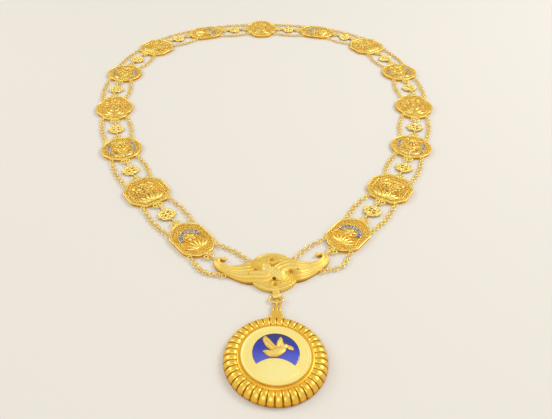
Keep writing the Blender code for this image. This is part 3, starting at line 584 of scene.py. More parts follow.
def scattered(dice, outline, margin, keepOff, pitch, tries=2600):
    reachX = max(p.x for p in outline)
    reachY = max(p.y for p in outline)
    found = []
    for _ in range(tries):
        spot = Vector((dice.uniform(-reachX, reachX), dice.uniform(-reachY, reachY)))
        if any((spot - f).length < pitch for f in found):
            continue
        if any(math.hypot(spot.x - x, spot.y - y) < r for x, y, r in keepOff):
            continue
        if inside(outline, spot, margin):
            found.append(spot)
    return found


def platedBase(outline, look):  # the plate: a low backing and a step up to the field, inside the rim wire
    piece = plateFrom(movedIn(outline, look["plateIn"]), look["field"] - 0.30)
    bpy.ops.mesh.inset(thickness=0.20, depth=0.30, use_even_offset=False)
    closePlate(piece)
    return takeMesh(piece)


def leafBetween(work, pattern, foot, tip, wide, z, tall=1.0):
    way = Vector(tip) - Vector(foot)
    length = way.length
    turn = math.atan2(way.y, way.x) - math.pi / 2
    stamp(work, pattern, foot[0], foot[1], z, turn, (wide, length, length * tall))


def spotsAlong(foot, tip, radius):
    a, b = Vector(foot), Vector(tip)
    count = max(2, int((b - a).length / 1.2))
    return [(*a.lerp(b, k / count), radius) for k in range(count + 1)]


def bandReach(share, inner, outer, taper):  # the band's inner and outer radius, slim in the middle of its run
    slim = 1 - taper * (1 - abs(2 * share - 1) ** 2.2)
    return (inner + outer) / 2 - (outer - inner) / 2 * slim, (inner + outer) / 2 + (outer - inner) / 2 * slim


def onArc(centre, reach, angle):
    return centre[0] + reach * math.cos(angle), centre[1] + reach * math.sin(angle)


bandLook = {  # arcs in degrees
    "arched": {"centre": (0, 1.7), "inner": 5.4, "outer": 9.2, "start": -4, "end": 184, "taper": 0.0,
               "spokes": 18, "lean": 6, "wireRise": 0.55, "crown": 2.65},
    "crescent": {"centre": (0, 0.6), "inner": 9.2, "outer": 13.2, "start": 146, "end": 394, "taper": 0.62,
                 "spokes": 30, "lean": 3, "wireRise": 0.45, "crown": 2.6},
}


def enamelBand(band, low):  # a domed band of enamel along an arc, ending 2 degrees inside its wires
    start, end = band["start"] + 2, band["end"] - 2
    rows = []
    for k in range(41):
        angle = math.radians(start + (end - start) * k / 40)
        near, far = bandReach(k / 40, band["inner"], band["outer"], band["taper"])
        row = []
        for j in range(7):
            across = -1 + j / 3
            rise = low + (band["crown"] - low) * (1 - across ** 4)
            row.append((*onArc(band["centre"], near + (far - near) * j / 6, angle), rise))
        rows.append(row)
    return gridSurface(rows, False, low - 0.4)


def bandWires(work, band, field):  # edge wires and slanting cell walls
    centre, start, end = band["centre"], band["start"], band["end"]
    z = field + band["wireRise"]
    for side in (0, 1):
        path = []
        for k in range(41):
            reach = bandReach(k / 40, band["inner"], band["outer"], band["taper"])[side]
            path.append((*onArc(centre, reach, math.radians(start + (end - start) * k / 40)), z))
        stamp(work, wireMesh(path, 0.5), 0, 0)
    for k in range(band["spokes"] + 1):
        angle = math.radians(start + (end - start) * k / band["spokes"])
        near, far = bandReach(k / band["spokes"], band["inner"], band["outer"], band["taper"])
        swing = math.radians(band["lean"] if k % 2 else -band["lean"])
        path = []
        for j in range(5):
            share = j / 4
            path.append((*onArc(centre, near + (far - near) * share, angle + swing * share),
                         z + 0.12 * math.sin(math.pi * share)))
        stamp(work, wireMesh(path, 0.26, roundness=0), 0, 0)


reliefs = {
    "lobed": {
        "blossoms": [(-6.5, 5.3, 3.3), (-2.0, 10.0, 3.1), (4.2, 6.2, 3.3), (-1.0, 1.6, 3.0), (8.2, -0.2, 2.1),
                     (-9.2, -1.0, 2.0)],
        "stems": [[(-0.6, -16), (-2.5, -9), (-5.4, -1), (-6.5, 5)], [(0, -16), (-0.4, -8), (-0.8, 0)],
                  [(0.6, -16), (2.4, -8), (3.6, 0), (4.2, 6)], [(0.2, -16), (1.0, -6), (-0.4, 4), (-2, 9)],
                  [(1.2, -16), (5.0, -9), (8.0, -1)], [(-1.2, -16), (-5.5, -9), (-9.0, -2)]],
        "leaves": [((-1.6, -12.5), (-7.6, -5.2), 5.2), ((1.8, -12.5), (7.2, -5.6), 5.2),
                   ((-0.8, -7.5), (-4.4, -1.2), 4.6), ((1.2, -7.5), (5.2, 0.4), 4.6),
                   ((-3.6, -14.2), (-9.8, -9.2), 4.6), ((3.6, -14.2), (9.8, -9.4), 4.6),
                   ((-5.2, 8.8), (-8.6, 13.2), 3.6), ((4.0, 9.8), (5.6, 15.2), 4.0), ((0.6, 12.0), (0.8, 17.4), 4.0)],
    },
    "crescent": {
        "blossoms": [(0.0, 6.6, 5.6), (-5.4, 0.4, 2.5), (5.4, 0.4, 2.5)],
        "stems": [[(0, -14), (0, -8), (0, -1), (0, 4)], [(0, -9), (-2.5, -5), (-5.6, 1)],
                  [(0, -9), (2.5, -5), (5.6, 1)]],
        "leaves": [((0, -3), (-4.6, 0.6), 3.4), ((0, -3), (4.6, 0.6), 3.4), ((-1.4, -12.6), (-8.6, -8.6), 4.4),
                   ((1.4, -12.6), (8.6, -8.6), 4.4), ((0, -13.6), (0, -7.0), 3.6),
                   ((-3.2, 11.2), (-8.0, 10.4), 3.6), ((3.2, 11.2), (8.0, 10.4), 3.6)],
    },
    "octagon": {
        "blossoms": [(-5.2, 3.4, 3.7), (5.2, 2.6, 3.7), (0.2, 8.6, 3.3)],
        "stems": [[(-0.6, -13.5), (-2.4, -6), (-4.6, 1)], [(0.6, -13.5), (2.4, -6), (4.6, 1)],
                  [(0, -13.5), (0.9, -4), (0.2, 6)]],
        "leaves": [((-0.8, -13.2), (-3.4, -5.4), 4.2), ((0.8, -13.2), (3.4, -5.4), 4.2),
                   ((-2.2, -13.4), (-8.2, -5.6), 4.6), ((2.2, -13.4), (8.2, -5.6), 4.6),
                   ((-4.0, -13.0), (-11.4, -7.6), 4.2),
                   ((4.0, -13.0), (11.4, -7.6), 4.2), ((0, -13.4), (0, -6.2), 3.4),
                   ((-9.0, 6.0), (-6.0, 11.6), 4.0), ((9.0, 6.0), (6.0, 11.6), 4.0)],
    },
    "arched": {
        "blossoms": [(0.0, 2.4, 4.5)],
        "stems": [],
        "leaves": [((math.sin(math.radians(a)) * 2.6, -12.6 + abs(a) * 0.016),
                    (math.sin(math.radians(a)) * 11.4, -12.6 + math.cos(math.radians(a)) * 11.6), 4.8)
                   for a in (-62, -41, -20, 0, 20, 41, 62)],
    },
}
piercings = {
    "crescent": [(-5.4, -4.4, 1.7, 0.95, -20), (5.4, -4.4, 1.7, 0.95, 20), (-2.1, -10.0, 0.85, 1.0, 0),
                 (2.1, -10.0, 0.85, 1.0, 0)],
    "octagon": [(0.0, -3.4, 1.5, 1.2, 0)],
    "lobed": [], "arched": [],
}


def plaqueGold(design):
    look = plaqueLook
    plan = reliefs[design]
    outline = plaqueOutline(design)
    dice = random.Random({"lobed": 4, "crescent": 7, "octagon": 11, "arched": 15}[design])
    work = bmesh.new()
    base = platedBase(outline, look)
    if piercings[design]:
        base = cutThrough(base, piercings[design])
    stamp(work, base, 0, 0)
    rim = evenly(movedIn(outline, look["rimIn"]), look["steps"])
    stamp(work, wireMesh([(p.x, p.y, look["rimHigh"]) for p in rim], look["rimWire"], closed=True, roundness=2), 0, 0)
    field = look["field"]
    # granulation all round inside the rim
    line = movedIn(outline, look["beadIn"])
    around = sum((line[k] - line[k - 1]).length for k in range(len(line)))
    for spot in evenly(line, int(around / look["rimPitch"])):
        stamp(work, bead, spot.x, spot.y, field + 0.36, 0, look["rimBead"])
    keepOff = []
    # stems first, then leaves, then blossoms over them
    for knobs in plan["stems"]:
        path = [(p.x, p.y, field + 0.30) for p in smoothPath([(x, y, 0) for x, y in knobs], 6)]
        stamp(work, wireMesh(path, look["stemWire"]), 0, 0)
        keepOff += [(x, y, 0.8) for x, y, _ in path]
    for foot, tip, wide in plan["leaves"]:
        leafBetween(work, leaf if design == "arched" else broadLeaf, foot, tip, wide * 1.5, field + 0.15, 1.15)
        keepOff += spotsAlong(foot, tip, wide * 0.34)
    for x, y, reach in plan["blossoms"]:
        pattern = fivePetals if design == "arched" else (manyPetals if reach > 4 else sixPetals)
        stamp(work, pattern, x, y, field + 0.32, dice.uniform(0, 1) if design != "arched" else math.pi / 2, reach)
        keepOff.append((x, y, reach + 0.15))
    if design == "arched":
        bandWires(work, bandLook[design], field)
        legs = [[(-9.1, 1.2), (-9.6, -3.0), (-10.4, -6.4), (-9.0, -8.2)],
                [(9.1, 1.2), (9.6, -3.0), (10.4, -6.4), (9.0, -8.2)]]
        for knobs in legs:  # the arch's wire runs down both sides and turns out like an omega
            path = [(p.x, p.y, field + 0.5) for p in smoothPath([(x, y, 0) for x, y in knobs], 6)]
            stamp(work, wireMesh(path, 0.55), 0, 0)
            keepOff += [(x, y, 0.8) for x, y, _ in path]
        keepOff += [(math.cos(math.radians(a)) * 7.4, 1.7 + math.sin(math.radians(a)) * 7.4, 2.5)
                    for a in range(-6, 190, 12)]
        for reach in (3.4, 5.4):  # beaded arcs at the foot
            for k in range(int(reach * 2.6)):
                angle = math.pi * (k + 0.5) / int(reach * 2.6)
                x, y = math.cos(angle) * reach, -16.6 + math.sin(angle) * reach * 0.62
                stamp(work, bead, x, y, field + 0.35, 0, 0.42)
        keepOff += spotsAlong((-5, -14.6), (5, -14.6), 1.2)
    if design == "crescent":
        bandWires(work, bandLook[design], field)
        keepOff += [(math.cos(math.radians(a)) * 11.2, 0.6 + math.sin(math.radians(a)) * 11.2, 2.2)
                    for a in range(146, 396, 10)]
    if design == "octagon":
        ring = evenly(movedIn(outline, 4.3), 120)
        stamp(work, wireMesh([(p.x, p.y, field + 0.35) for p in ring], 0.75, closed=True), 0, 0)
        keepOff += [(p.x, p.y, 0.8) for p in ring[::2]]
    if design == "lobed":
        ring = evenly(movedIn(outline, 3.6), 120)
        stamp(work, wireMesh([(p.x, p.y, field + 0.25) for p in ring], 0.5, closed=True), 0, 0)
        keepOff += [(p.x, p.y, 0.65) for p in ring[::2]]
    for x, y, wide, tall, _ in piercings[design]:
        keepOff.append((x, y, max(wide, tall) + 0.3))
    # filigree curls and granules fill what is left
    for spot in scattered(dice, outline, look["curlIn"], keepOff, look["curlPitch"]):
        stamp(work, dice.choice(curls), spot.x, spot.y, field + 0.42, dice.uniform(0, 6.28), look["curl"])
        keepOff.append((spot.x, spot.y, 0.85))
    for spot in scattered(dice, outline, look["grainIn"], keepOff, look["grainPitch"]):
        stamp(work, bead, spot.x, spot.y, field + 0.32, 0, look["grain"])
    return work


def cornerRings(work, x, y):
    ring = ringMesh(plaqueLook["ringReach"], plaqueLook["ringWire"])
    for sideX in (-1, 1):
        for sideY in (-1, 1):
            stamp(work, ring, x * sideX, y * sideY, plaqueLook["ringMiddle"])


def bails(work, end):  # a scroll bail at both ends: two curled eyes and a bow between them
    middle = plaqueLook["ringMiddle"] + 0.1
    eye = ringMesh(plaqueLook["eyeReach"], plaqueLook["eyeWire"], 20)
    for way in (-1, 1):
        for side in (-1, 1):
            stamp(work, eye, side * 2.32, way * (end + 1.85), middle)
        bow = smoothPath([(-3.3, end + 3.3, middle), (-2.3, end + 4.45, middle), (-1.0, end + 5.05, middle),
                          (0, end + 5.15, middle), (1.0, end + 5.05, middle), (2.3, end + 4.45, middle),
                          (3.3, end + 3.3, middle)], 5)
        stamp(work, wireMesh([(p.x, way * p.y, p.z) for p in bow], plaqueLook["bowWire"], roundness=2), 0, 0)
        stamp(work, ball, 0, way * (end - 0.1), middle + 0.1, 0, (1.2, 0.8, 0.9))


def cutThrough(mesh, cutters):  # pierces a closed mesh with upright cutters, from well under it to well over it
    piece = asPiece(mesh)
    tools = bmesh.new()
    for x, y, wide, tall, lean in cutters:
        ringPoints = []
        for k in range(16):
            angle = 2 * math.pi * k / 16
            dx, dy = turned(wide * math.cos(angle), tall * math.sin(angle), math.radians(lean))
            ringPoints.append((x + dx, y + dy))
        stamp(tools, takeMesh(closePlate(plateFrom(ringPoints, 14.0, -4.0))), 0, 0)
    cutter = asPiece(asMesh(tools, "tools"))
    pickOnly(piece)
    subtract(piece, cutter)
    return takeMesh(piece)


def plaqueRule(spot):  # the field lies at 2.1 and the relief tops at 3; the colour lightens with height, painted shade on the field and low backing, painted highlight on the tops
    return 0.3 if spot.z < 1.75 else 0.22 + (spot.z - 2.1) / 0.72


plaqueMeshes, plaqueEnamels = {}, {}
for design in ("lobed", "crescent", "octagon", "arched"):
    gold = plaqueGold(design)
    fitted = [(design, gold)]
    if design == "lobed":
        turnedGold = gold.copy()
        bmesh.ops.rotate(turnedGold, verts=turnedGold.verts, matrix=Matrix.Rotation(-math.pi / 2, 3, "Z"))
        fitted.append(("nape", turnedGold))
    for name, work in fitted:
        plateCount = len(work.verts)
        cornerRings(work, *ringSpots[name])
        bails(work, 18.0 if name == "nape" else halfSizes[name][1])
        plaqueMeshes[name] = finishMesh(work, name, (0, plaqueRule), (plateCount, lambda spot: 0.88))
        print("  ", name, len(plaqueMeshes[name].polygons), "faces")
for design, band in bandLook.items():
    glaze = enamelBand(band, plaqueLook["enamelFoot"])
    plaqueEnamels[design] = finishMesh(glaze, f"{design}_enamel", (0, lambda spot: 1.0))

designs = {0: "nape", 1: "arched", 2: "octagon", 3: "crescent", 4: "lobed", 5: "crescent", 6: "octagon", 7: "arched"}
plaquePlaces = {
    "left": {1: (-59.031, -122.853, 37.87), 2: (-99.608, -66.314, 33.32), 3: (-129.225, -5.853, 18.77),
             4: (-146.382, 62.938, 9.71), 5: (-146.356, 132.817, -10.84), 6: (-118.956, 193.032, -37.89),
             7: (-64.767, 231.065, -70.95)},
    "right": {1: (58.823, -117.828, -40.16), 2: (100.139, -62.447, -33.07), 3: (129.812, -2.467, -19.47),
              4: (146.404, 65.930, -8.38), 5: (145.027, 135.377, 11.72), 6: (119.369, 196.278, 33.81),
              7: (66.297, 233.426, 74.91)},
}
napePlace = (0.696, 242.370, 90.0)
centrePlace = (0.696, -156.495, 3.6)

setDown(plaqueMeshes["nape"], "nape_plaque", napePlace[:2], napePlace[2], filigreeGilt, "gilt", "plaque_0")
for side, places in plaquePlaces.items():
    for number, (x, y, turn) in places.items():
        design = designs[number]
        node = f"plaque_{side}_{number}"
        setDown(plaqueMeshes[design], f"{node}_gilt", (x, y), turn, filigreeGilt, "gilt", node)
        if design in plaqueEnamels:
            setDown(plaqueEnamels[design], f"{node}_enamel", (x, y), turn, cellEnamel, "blue_enamel", node)


print("knots")

knotLook = {"width": 15.7, "length": 14.0, "cord": 1.72, "swell": 0.30, "middle": 1.62, "weave": 0.62, "loopWire": 0.8,
            "loopHalf": 1.35, "loopTip": 12.35, "loopMiddle": 1.85}


def knotMesh(look):  # one cord laid in a closed weave, over and under by turns, with its bights round the edge
    count = 240
    halfWidth, halfLength = (look["width"] - look["cord"]) / 2, (look["length"] - look["cord"]) / 2
    flat = []
    for k in range(count):
        t = 2 * math.pi * k / count
        slantA, slantB = math.cos(3 * t), math.sin(4 * t)
        spot = Vector((slantA - slantB, slantA + slantB))
        # the sides swell out between the corners
        swell = 1 + look["swell"] * math.sin(2 * math.atan2(spot.y, spot.x)) ** 2
        flat.append(spot * swell)
    wide, tall = max(p.x for p in flat), max(p.y for p in flat)
    flat = [Vector((p.x * halfWidth / wide, p.y * halfLength / tall)) for p in flat]
    crossings = []
    for i in range(count):
        a, b = flat[i], flat[(i + 1) % count]
        for j in range(i + 2, count):
            if (j + 1) % count == i:
                continue
            c, d = flat[j], flat[(j + 1) % count]
            r, s = b - a, d - c
            cross = r.x * s.y - r.y * s.x
            if abs(cross) < 1e-9:
                continue
            u = ((c - a).x * s.y - (c - a).y * s.x) / cross
            v = ((c - a).x * r.y - (c - a).y * r.x) / cross
            if 0 <= u < 1 and 0 <= v < 1:
                crossings += [i + u, j + v]
    crossings.sort()
    heights = [(place, 1 if k % 2 else -1) for k, place in enumerate(crossings)]
    path = []
    for k, spot in enumerate(flat):
        after = next((n for n, (place, _) in enumerate(heights) if place > k), 0)
        (p0, h0), (p1, h1) = heights[after - 1], heights[after]
        span = (p1 - p0) % count
        share = ((k - p0) % count) / span if span else 0
        ease = (1 - math.cos(math.pi * share)) / 2
        path.append((spot.x, spot.y, look["middle"] + look["weave"] * (h0 + (h1 - h0) * ease)))
    work = bmesh.new()
    stamp(work, wireMesh(path, look["cord"], closed=True), 0, 0)
    half, middle = look["loopHalf"], look["loopMiddle"]
    inner, outer = look["length"] / 2 - 1.2, look["loopTip"] - half
    for way in (-1, 1):  # the upright wire loop that a bail holds
        arc = [(outer + half * math.cos(a), half * math.sin(a)) for a in (math.pi * (k / 8 - 0.5) for k in range(9))]
        points = [(0, way * y, middle + z) for y, z in [(inner, -half)] + arc + [(inner, half)]]
        stamp(work, wireMesh(points, look["loopWire"], roundness=2), 0, 0)
        stamp(work, ball, 0, way * (inner + 0.9), middle, 0, (1.0, 0.9, 1.3))
    # painted light by height: the cord darker where it passes under, painted shade, lighter where it crosses over,
    # painted highlight
    return finishMesh(work, "knot", (0, lambda spot: (spot.z - 0.2) / 1.9))


knot = knotMesh(knotLook)
knotPlaces = {
    "left": {1: (-80.636, -94.236, 215.60), 2: (-116.864, -37.004, 206.04), 3: (-139.044, 26.325, 194.24),
             4: (-150.303, 99.737, 179.44), 5: (-137.135, 164.686, 155.63), 6: (-96.296, 216.518, 125.58),
             7: (-31.713, 240.455, 99.53)},
    "right": {1: (81.191, -90.103, -36.62), 2: (117.266, -33.311, -26.27), 3: (139.743, 29.429, -13.93),
              4: (149.525, 102.587, 1.67), 5: (135.924, 167.125, 22.76), 6: (98.101, 220.512, 54.36),
              7: (32.941, 240.880, 82.45)},
}
for side, places in knotPlaces.items():
    for number, (x, y, turn) in places.items():
        node = f"knot_{side}_{number}"
        setDown(knot, f"{node}_woven", (x, y), turn, mattGilt, "pale_gilt", node)


print("side chains")

chainLook = {"reach": 1.72, "wire": 0.96, "ovalReach": 1.82, "ovalHalf": 0.62, "ovalWire": 0.56, "pitch": 2.80,
             "grip": 2.4, "bow": 1.7, "tipBow": 5.0, "endZ": 1.85, "middleZ": 1.40}
flatLink = ringMesh(chainLook["reach"], chainLook["wire"], 16, 6)
# the link between two rings is a narrow oval that stands on edge
ovalPath = []
for k in range(16):
    angle = 2 * math.pi * k / 16
    ovalPath.append((
        math.copysign(abs(math.cos(angle)) ** 0.7, math.cos(angle)) * chainLook["ovalReach"], 0.0,
        math.copysign(abs(math.sin(angle)) ** 0.7, math.sin(angle)) * chainLook["ovalHalf"],
    ))
uprightLink = wireMesh(ovalPath, chainLook["ovalWire"], closed=True)
wingRings = {"inner": (15.896, 12.165), "outer": (35.145, -1.357)}


def runMesh(start, end, away, bow, look):
    along = (end - start).normalized()
    first, last = start + along * look["grip"], end - along * look["grip"]
    fine = [first.lerp(last, k / 60) + away * bow * math.sin(math.pi * k / 60) for k in range(61)]
    length = sum((fine[k + 1] - fine[k]).length for k in range(60))
    count = 2 * math.ceil((length / look["pitch"]) / 2) + 1
    work = bmesh.new()
    passed, k = 0.0, 0
    for n in range(count):
        goal = length * n / (count - 1)
        while k < 59 and passed + (fine[k + 1] - fine[k]).length < goal:
            passed += (fine[k + 1] - fine[k]).length
            k += 1
        piece = fine[k + 1] - fine[k]
        spot = fine[k] + piece * min(1.0, (goal - passed) / piece.length)
        share = goal / length
        z = look["middleZ"] + (look["endZ"] - look["middleZ"]) * max(0.0, 1 - min(share, 1 - share) * 5)
        heading = math.atan2(piece.y, piece.x)
        roll = (5, -8, 3, 7)[n % 4]
        copied = (flatLink if n % 2 else uprightLink).copy()
        copied.transform(
            Matrix.Translation((spot.x, spot.y, z)) @ Matrix.Rotation(heading, 4, "Z")
            @ Matrix.Rotation(math.radians(roll), 4, "X")
        )
        work.from_mesh(copied)
        bpy.data.meshes.remove(copied)
    # painted light by height: lighter on the links' tops, painted highlight, darker low down, painted shade
    return finishMesh(work, "run", (0, lambda spot: 0.30 + spot.z / 3))


def ringPlace(place, ring, signX, signY):
    dx, dy = turned(ring[0] * signX, ring[1] * signY, math.radians(place[2]))
    return Vector((place[0] + dx, place[1] + dy))


for side, inward in (("left", 1), ("right", -1)):
    places = plaquePlaces[side]
    for which, sign in (("inner", inward), ("outer", -inward)):
        for number in (0, 7, 6, 5, 4, 3, 2, 1):
            if number == 0:
                napeEnd = 1 if side == "left" else -1
                napeSign = -1 if which == "inner" else 1
                start = ringPlace(napePlace, ringSpots["nape"], napeSign, napeEnd)
                away = Vector(turned(napeSign, 0, math.radians(napePlace[2])))
            else:
                start = ringPlace(places[number], ringSpots[designs[number]], sign, -1)
                away = Vector(turned(sign, 0, math.radians(places[number][2])))
            if number == 1:
                wing = wingRings[which]
                end = ringPlace(centrePlace, wing, -1 if side == "left" else 1, 1)
            else:
                after = 7 if number == 0 else number - 1
                end = ringPlace(places[after], ringSpots[designs[after]], sign, 1)
            along = (end - start).normalized()
            square = Vector((along.y, -along.x))
            square = square if square.dot(away) > 0 else -square
            bow = chainLook["tipBow"] if (number, which) == (1, "outer") else chainLook["bow"]
            mesh = runMesh(start, end, square, bow, chainLook)
            if number == 0:
                node, name = "plaque_0", f"nape_run_{side}_{which}"
            elif number == 7:
                node, name = f"plaque_{side}_7", f"rear_run_{side}_{which}"
            else:
                node = f"chain_{side}_{which}_{number - 1}"
                name = f"{node}_links"
            setDown(mesh, name, (0, 0), 0, wireGilt, "gilt", node)


print("centre piece")

wingLook = {"halfSpan": 41.8, "depth": 26.6, "columns": 260, "rows": 60, "edge": 1.8, "crown": 1.0, "lift": 1.3,
            "roundReach": 18.18, "roundHeight": 3.0, "flutes": 3, "fluteRise": 0.34, "rimRise": 0.42, "rayRise": 0.50}
wingSections = [
    (0, -0.380, 0, 0.300), (0.170, -0.395, 0.160, 0.380), (0.325, -0.372, 0.310, 0.436),
    (0.490, -0.327, 0.440, 0.365), (0.665, -0.180, 0.595, 0.312), (0.828, 0.004, 0.725, 0.316),
    (0.943, 0.180, 0.818, 0.383), (1.000, 0.395, 0.876, 0.462), (0.971, 0.556, 0.885, 0.511),
    (0.900, 0.624, 0.876, 0.541), (0.813, 0.628, 0.804, 0.515),
]


def wingMesh(look):
    half, depth = look["halfSpan"], look["depth"]
    right = [(Vector((a * half, b * depth, 0)), Vector((c * half, d * depth, 0))) for a, b, c, d in wingSections]
    left = [(Vector((-a.x, a.y, 0)), Vector((-b.x, b.y, 0))) for a, b in reversed(right[1:])]
    pairs = left + right
    outer = smoothPath([a for a, _ in pairs], 14)
    inner = smoothPath([b for _, b in pairs], 14)
    lengths = [0.0]
    for k in range(1, len(outer)):
        middle = (outer[k] + inner[k]) / 2 - (outer[k - 1] + inner[k - 1]) / 2
        lengths.append(lengths[-1] + max(middle.length, 0.02))
    rows, k = [], 0
    for column in range(look["columns"] + 1):
        goal = lengths[-1] * column / look["columns"]
        while k < len(lengths) - 2 and lengths[k + 1] < goal:
            k += 1
        share = min(1.0, max(0.0, (goal - lengths[k]) / (lengths[k + 1] - lengths[k])))
        low, high = outer[k].lerp(outer[k + 1], share), inner[k].lerp(inner[k + 1], share)
        width = (high - low).length
        row = []
        for j in range(look["rows"] + 1):
            v = j / look["rows"]
            spot = low.lerp(high, v)
            row.append((spot.x, spot.y, wingHeight(spot.x, spot.y, v, width, look)))
        rows.append(row)
    return gridSurface(rows, False, 0.0)


def bandLift(x):  # the bands climb over the round in an easy slope
    share = min(1.0, max(0.0, (27.0 - abs(x)) / 13.0))
    return share * share * (3 - 2 * share)


def between(value, low, high):  # an easy rise from 0 to 1
    share = min(1.0, max(0.0, (value - low) / (high - low)))
    return share * share * (3 - 2 * share)


# where the rays start, and how deep
fanSpots = [(0.0, 11.2, 0.12), (0.0, -12.4, 0.12), (12.2, -0.9, 0.4), (-12.6, 1.3, 0.4)]


def fanRay(x, y):  # the nearest fan: its ray at a place, 0 to 1, how far out that is and how deep its heart
    x0, y0, deep = min(fanSpots, key=lambda s: math.hypot(x - s[0], (y - s[1]) * 1.15))
    out = math.hypot(x - x0, y - y0)
    ray = abs(math.cos(math.atan2(x - x0, y - y0) * 16)) ** 0.6
    return ray * between(out, 1.2, 2.6), out, deep


def roundRelief(x, y, look):
    ray, out, deep = fanRay(x, y)
    dome = 0.7 * max(0.0, 1 - (x * x + y * y) / 330)
    return look["roundHeight"] - 0.5 + dome + look["rayRise"] * ray - 0.55 * deep * math.exp(-(out / 2.2) ** 2)


def wingHeight(x, y, v, width, look):
    lift = look["lift"] * bandLift(x)
    cross = math.tanh(x / 4.5)
    tall, covered = [], False
    for hand in (1, -1):
        middle = 0.5 + hand * cross * 0.25
        half = 0.262 + 0.05 * math.exp(-(x / 4) ** 2)
        q = (v - middle) / half
        if abs(q) > 1:
            tall.append(-1.0)
            continue
        covered = covered or hand == 1
        patch = hand == -1 and abs(x) < 8.5
        ridge = -math.cos((5 if patch else look["flutes"]) * math.pi * (q + 1))
        body = 0.55 * (1 - q ** 4)
        over = 0.50 * math.exp(-(x / 6) ** 2) * -hand
        tall.append(body + look["fluteRise"] * ridge * min(1.0, width / 12) * (0.55 + 0.45 * (1 - q * q)) + over)
    strand = max(tall)  # the second band lies over the first in the middle
    edge = min(v, 1 - v) * width
    rim = look["rimRise"] * math.exp(-((edge - 0.55) / 0.42) ** 2)
    fall = 0.9 * max(0.0, 1 - edge / 0.35) ** 2
    high = look["edge"] - 0.15 + look["crown"] * math.sin(math.pi * v) * 0.75 + strand + rim - fall + lift
    if not covered:  # beside the upper band the round shows, with its rays
        bare = between(abs(x), 5.6, 8.0) * (1 - between(abs(x), 13.4, 20.0))
        high += (roundRelief(x, y, look) + 0.04 - high) * bare
    return high


def bandEdge(points, x):  # height of one of the ribbon's edges above a place across it
    for a, b in zip(points, points[1:]):
        if a.x <= x <= b.x:
            return a.y + (b.y - a.y) * (x - a.x) / ((b.x - a.x) or 1.0)
    return 0.0


def roundMesh(look):  # the round under the bands: a rim, and a sunburst of rays above and below them
    half, depth = look["halfSpan"], look["depth"]
    near = wingSections[:5]
    lowEdge = [Vector((-a * half, b * depth)) for a, b, _, _ in reversed(near[1:])]
    lowEdge += [Vector((a * half, b * depth)) for a, b, _, _ in near]
    highEdge = [Vector((-c * half, d * depth)) for _, _, c, d in reversed(near[1:])]
    highEdge += [Vector((c * half, d * depth)) for _, _, c, d in near]
    rows = []
    for r in [0.02 + look["roundReach"] * (k / 46) for k in range(47)]:
        row = []
        for k in range(192):
            angle = 2 * math.pi * k / 192
            x, y = r * math.cos(angle), r * math.sin(angle)
            z = roundRelief(x, y, look)
            clear = max(bandEdge(lowEdge, x) - y, y - bandEdge(highEdge, x))  # the rim fades out under the bands
            z += 0.55 * max(0.0, 1 - ((r - 17.2) / 0.8) ** 2) * between(clear, 0.2, 4.0)
            if r > 17.7:
                z -= 0.6 * ((r - 17.7) / 0.5) ** 2
            if bandEdge(lowEdge, x) + 0.5 < y < bandEdge(highEdge, x) - 0.5:
                z = 1.2  # out of sight under the bands
            row.append((x, y, z))
        rows.append(row)
    return gridSurface(rows, True, 0.0)


strapLook = {"height": 1.86, "halfLong": 1.9, "halfHigh": 1.46, "wall": 0.8}


def strapAt(y, width):  # a flattened strap bent into a loop, its hole across the hanger
    bpy.ops.object.select_all(action="DESELECT")
    bpy.ops.mesh.primitive_cylinder_add(
        vertices=40, radius=1, depth=width, end_fill_type="NOTHING", rotation=(0, math.pi / 2, 0),
    )
    piece = bpy.context.object
    bpy.ops.object.transform_apply(rotation=True)
    bpy.ops.object.mode_set(mode="EDIT")
    bpy.ops.mesh.select_all(action="SELECT")
    bpy.ops.transform.resize(value=(1, strapLook["halfLong"], strapLook["halfHigh"]))
    bpy.ops.transform.translate(value=(0, y, strapLook["height"]))
    bpy.ops.object.mode_set(mode="OBJECT")
    wall = piece.modifiers.new("wall", "SOLIDIFY")
    wall.thickness = strapLook["wall"]
    wall.offset = 0
    bpy.ops.object.modifier_apply(modifier="wall")
    bevelled(piece, 0.2)
    bpy.ops.object.shade_smooth_by_angle(angle=math.radians(40))
    return takeMesh(piece)


def softBlock(corners, low, high, edge=0.3):  # a soldered block with eased edges
    piece = plateFrom(corners, high - low, low)
    closePlate(piece)
    bevelled(piece, edge, 3)
    bpy.ops.object.shade_smooth_by_angle(angle=math.radians(40))
    return takeMesh(piece)


# pierced right through: middle, half width, half height, turn
eyelets = [(-0.6, 4.3, 1.45, 0.95, 0), (0.0, -6.9, 1.45, 0.95, 0), (-5.8, -1.6, 0.6, 0.45, 20),
           (5.4, -0.6, 0.6, 0.45, 20), (-18.0, -1.6, 0.8, 0.5, -15), (17.6, 0.6, 0.6, 0.75, 0)]
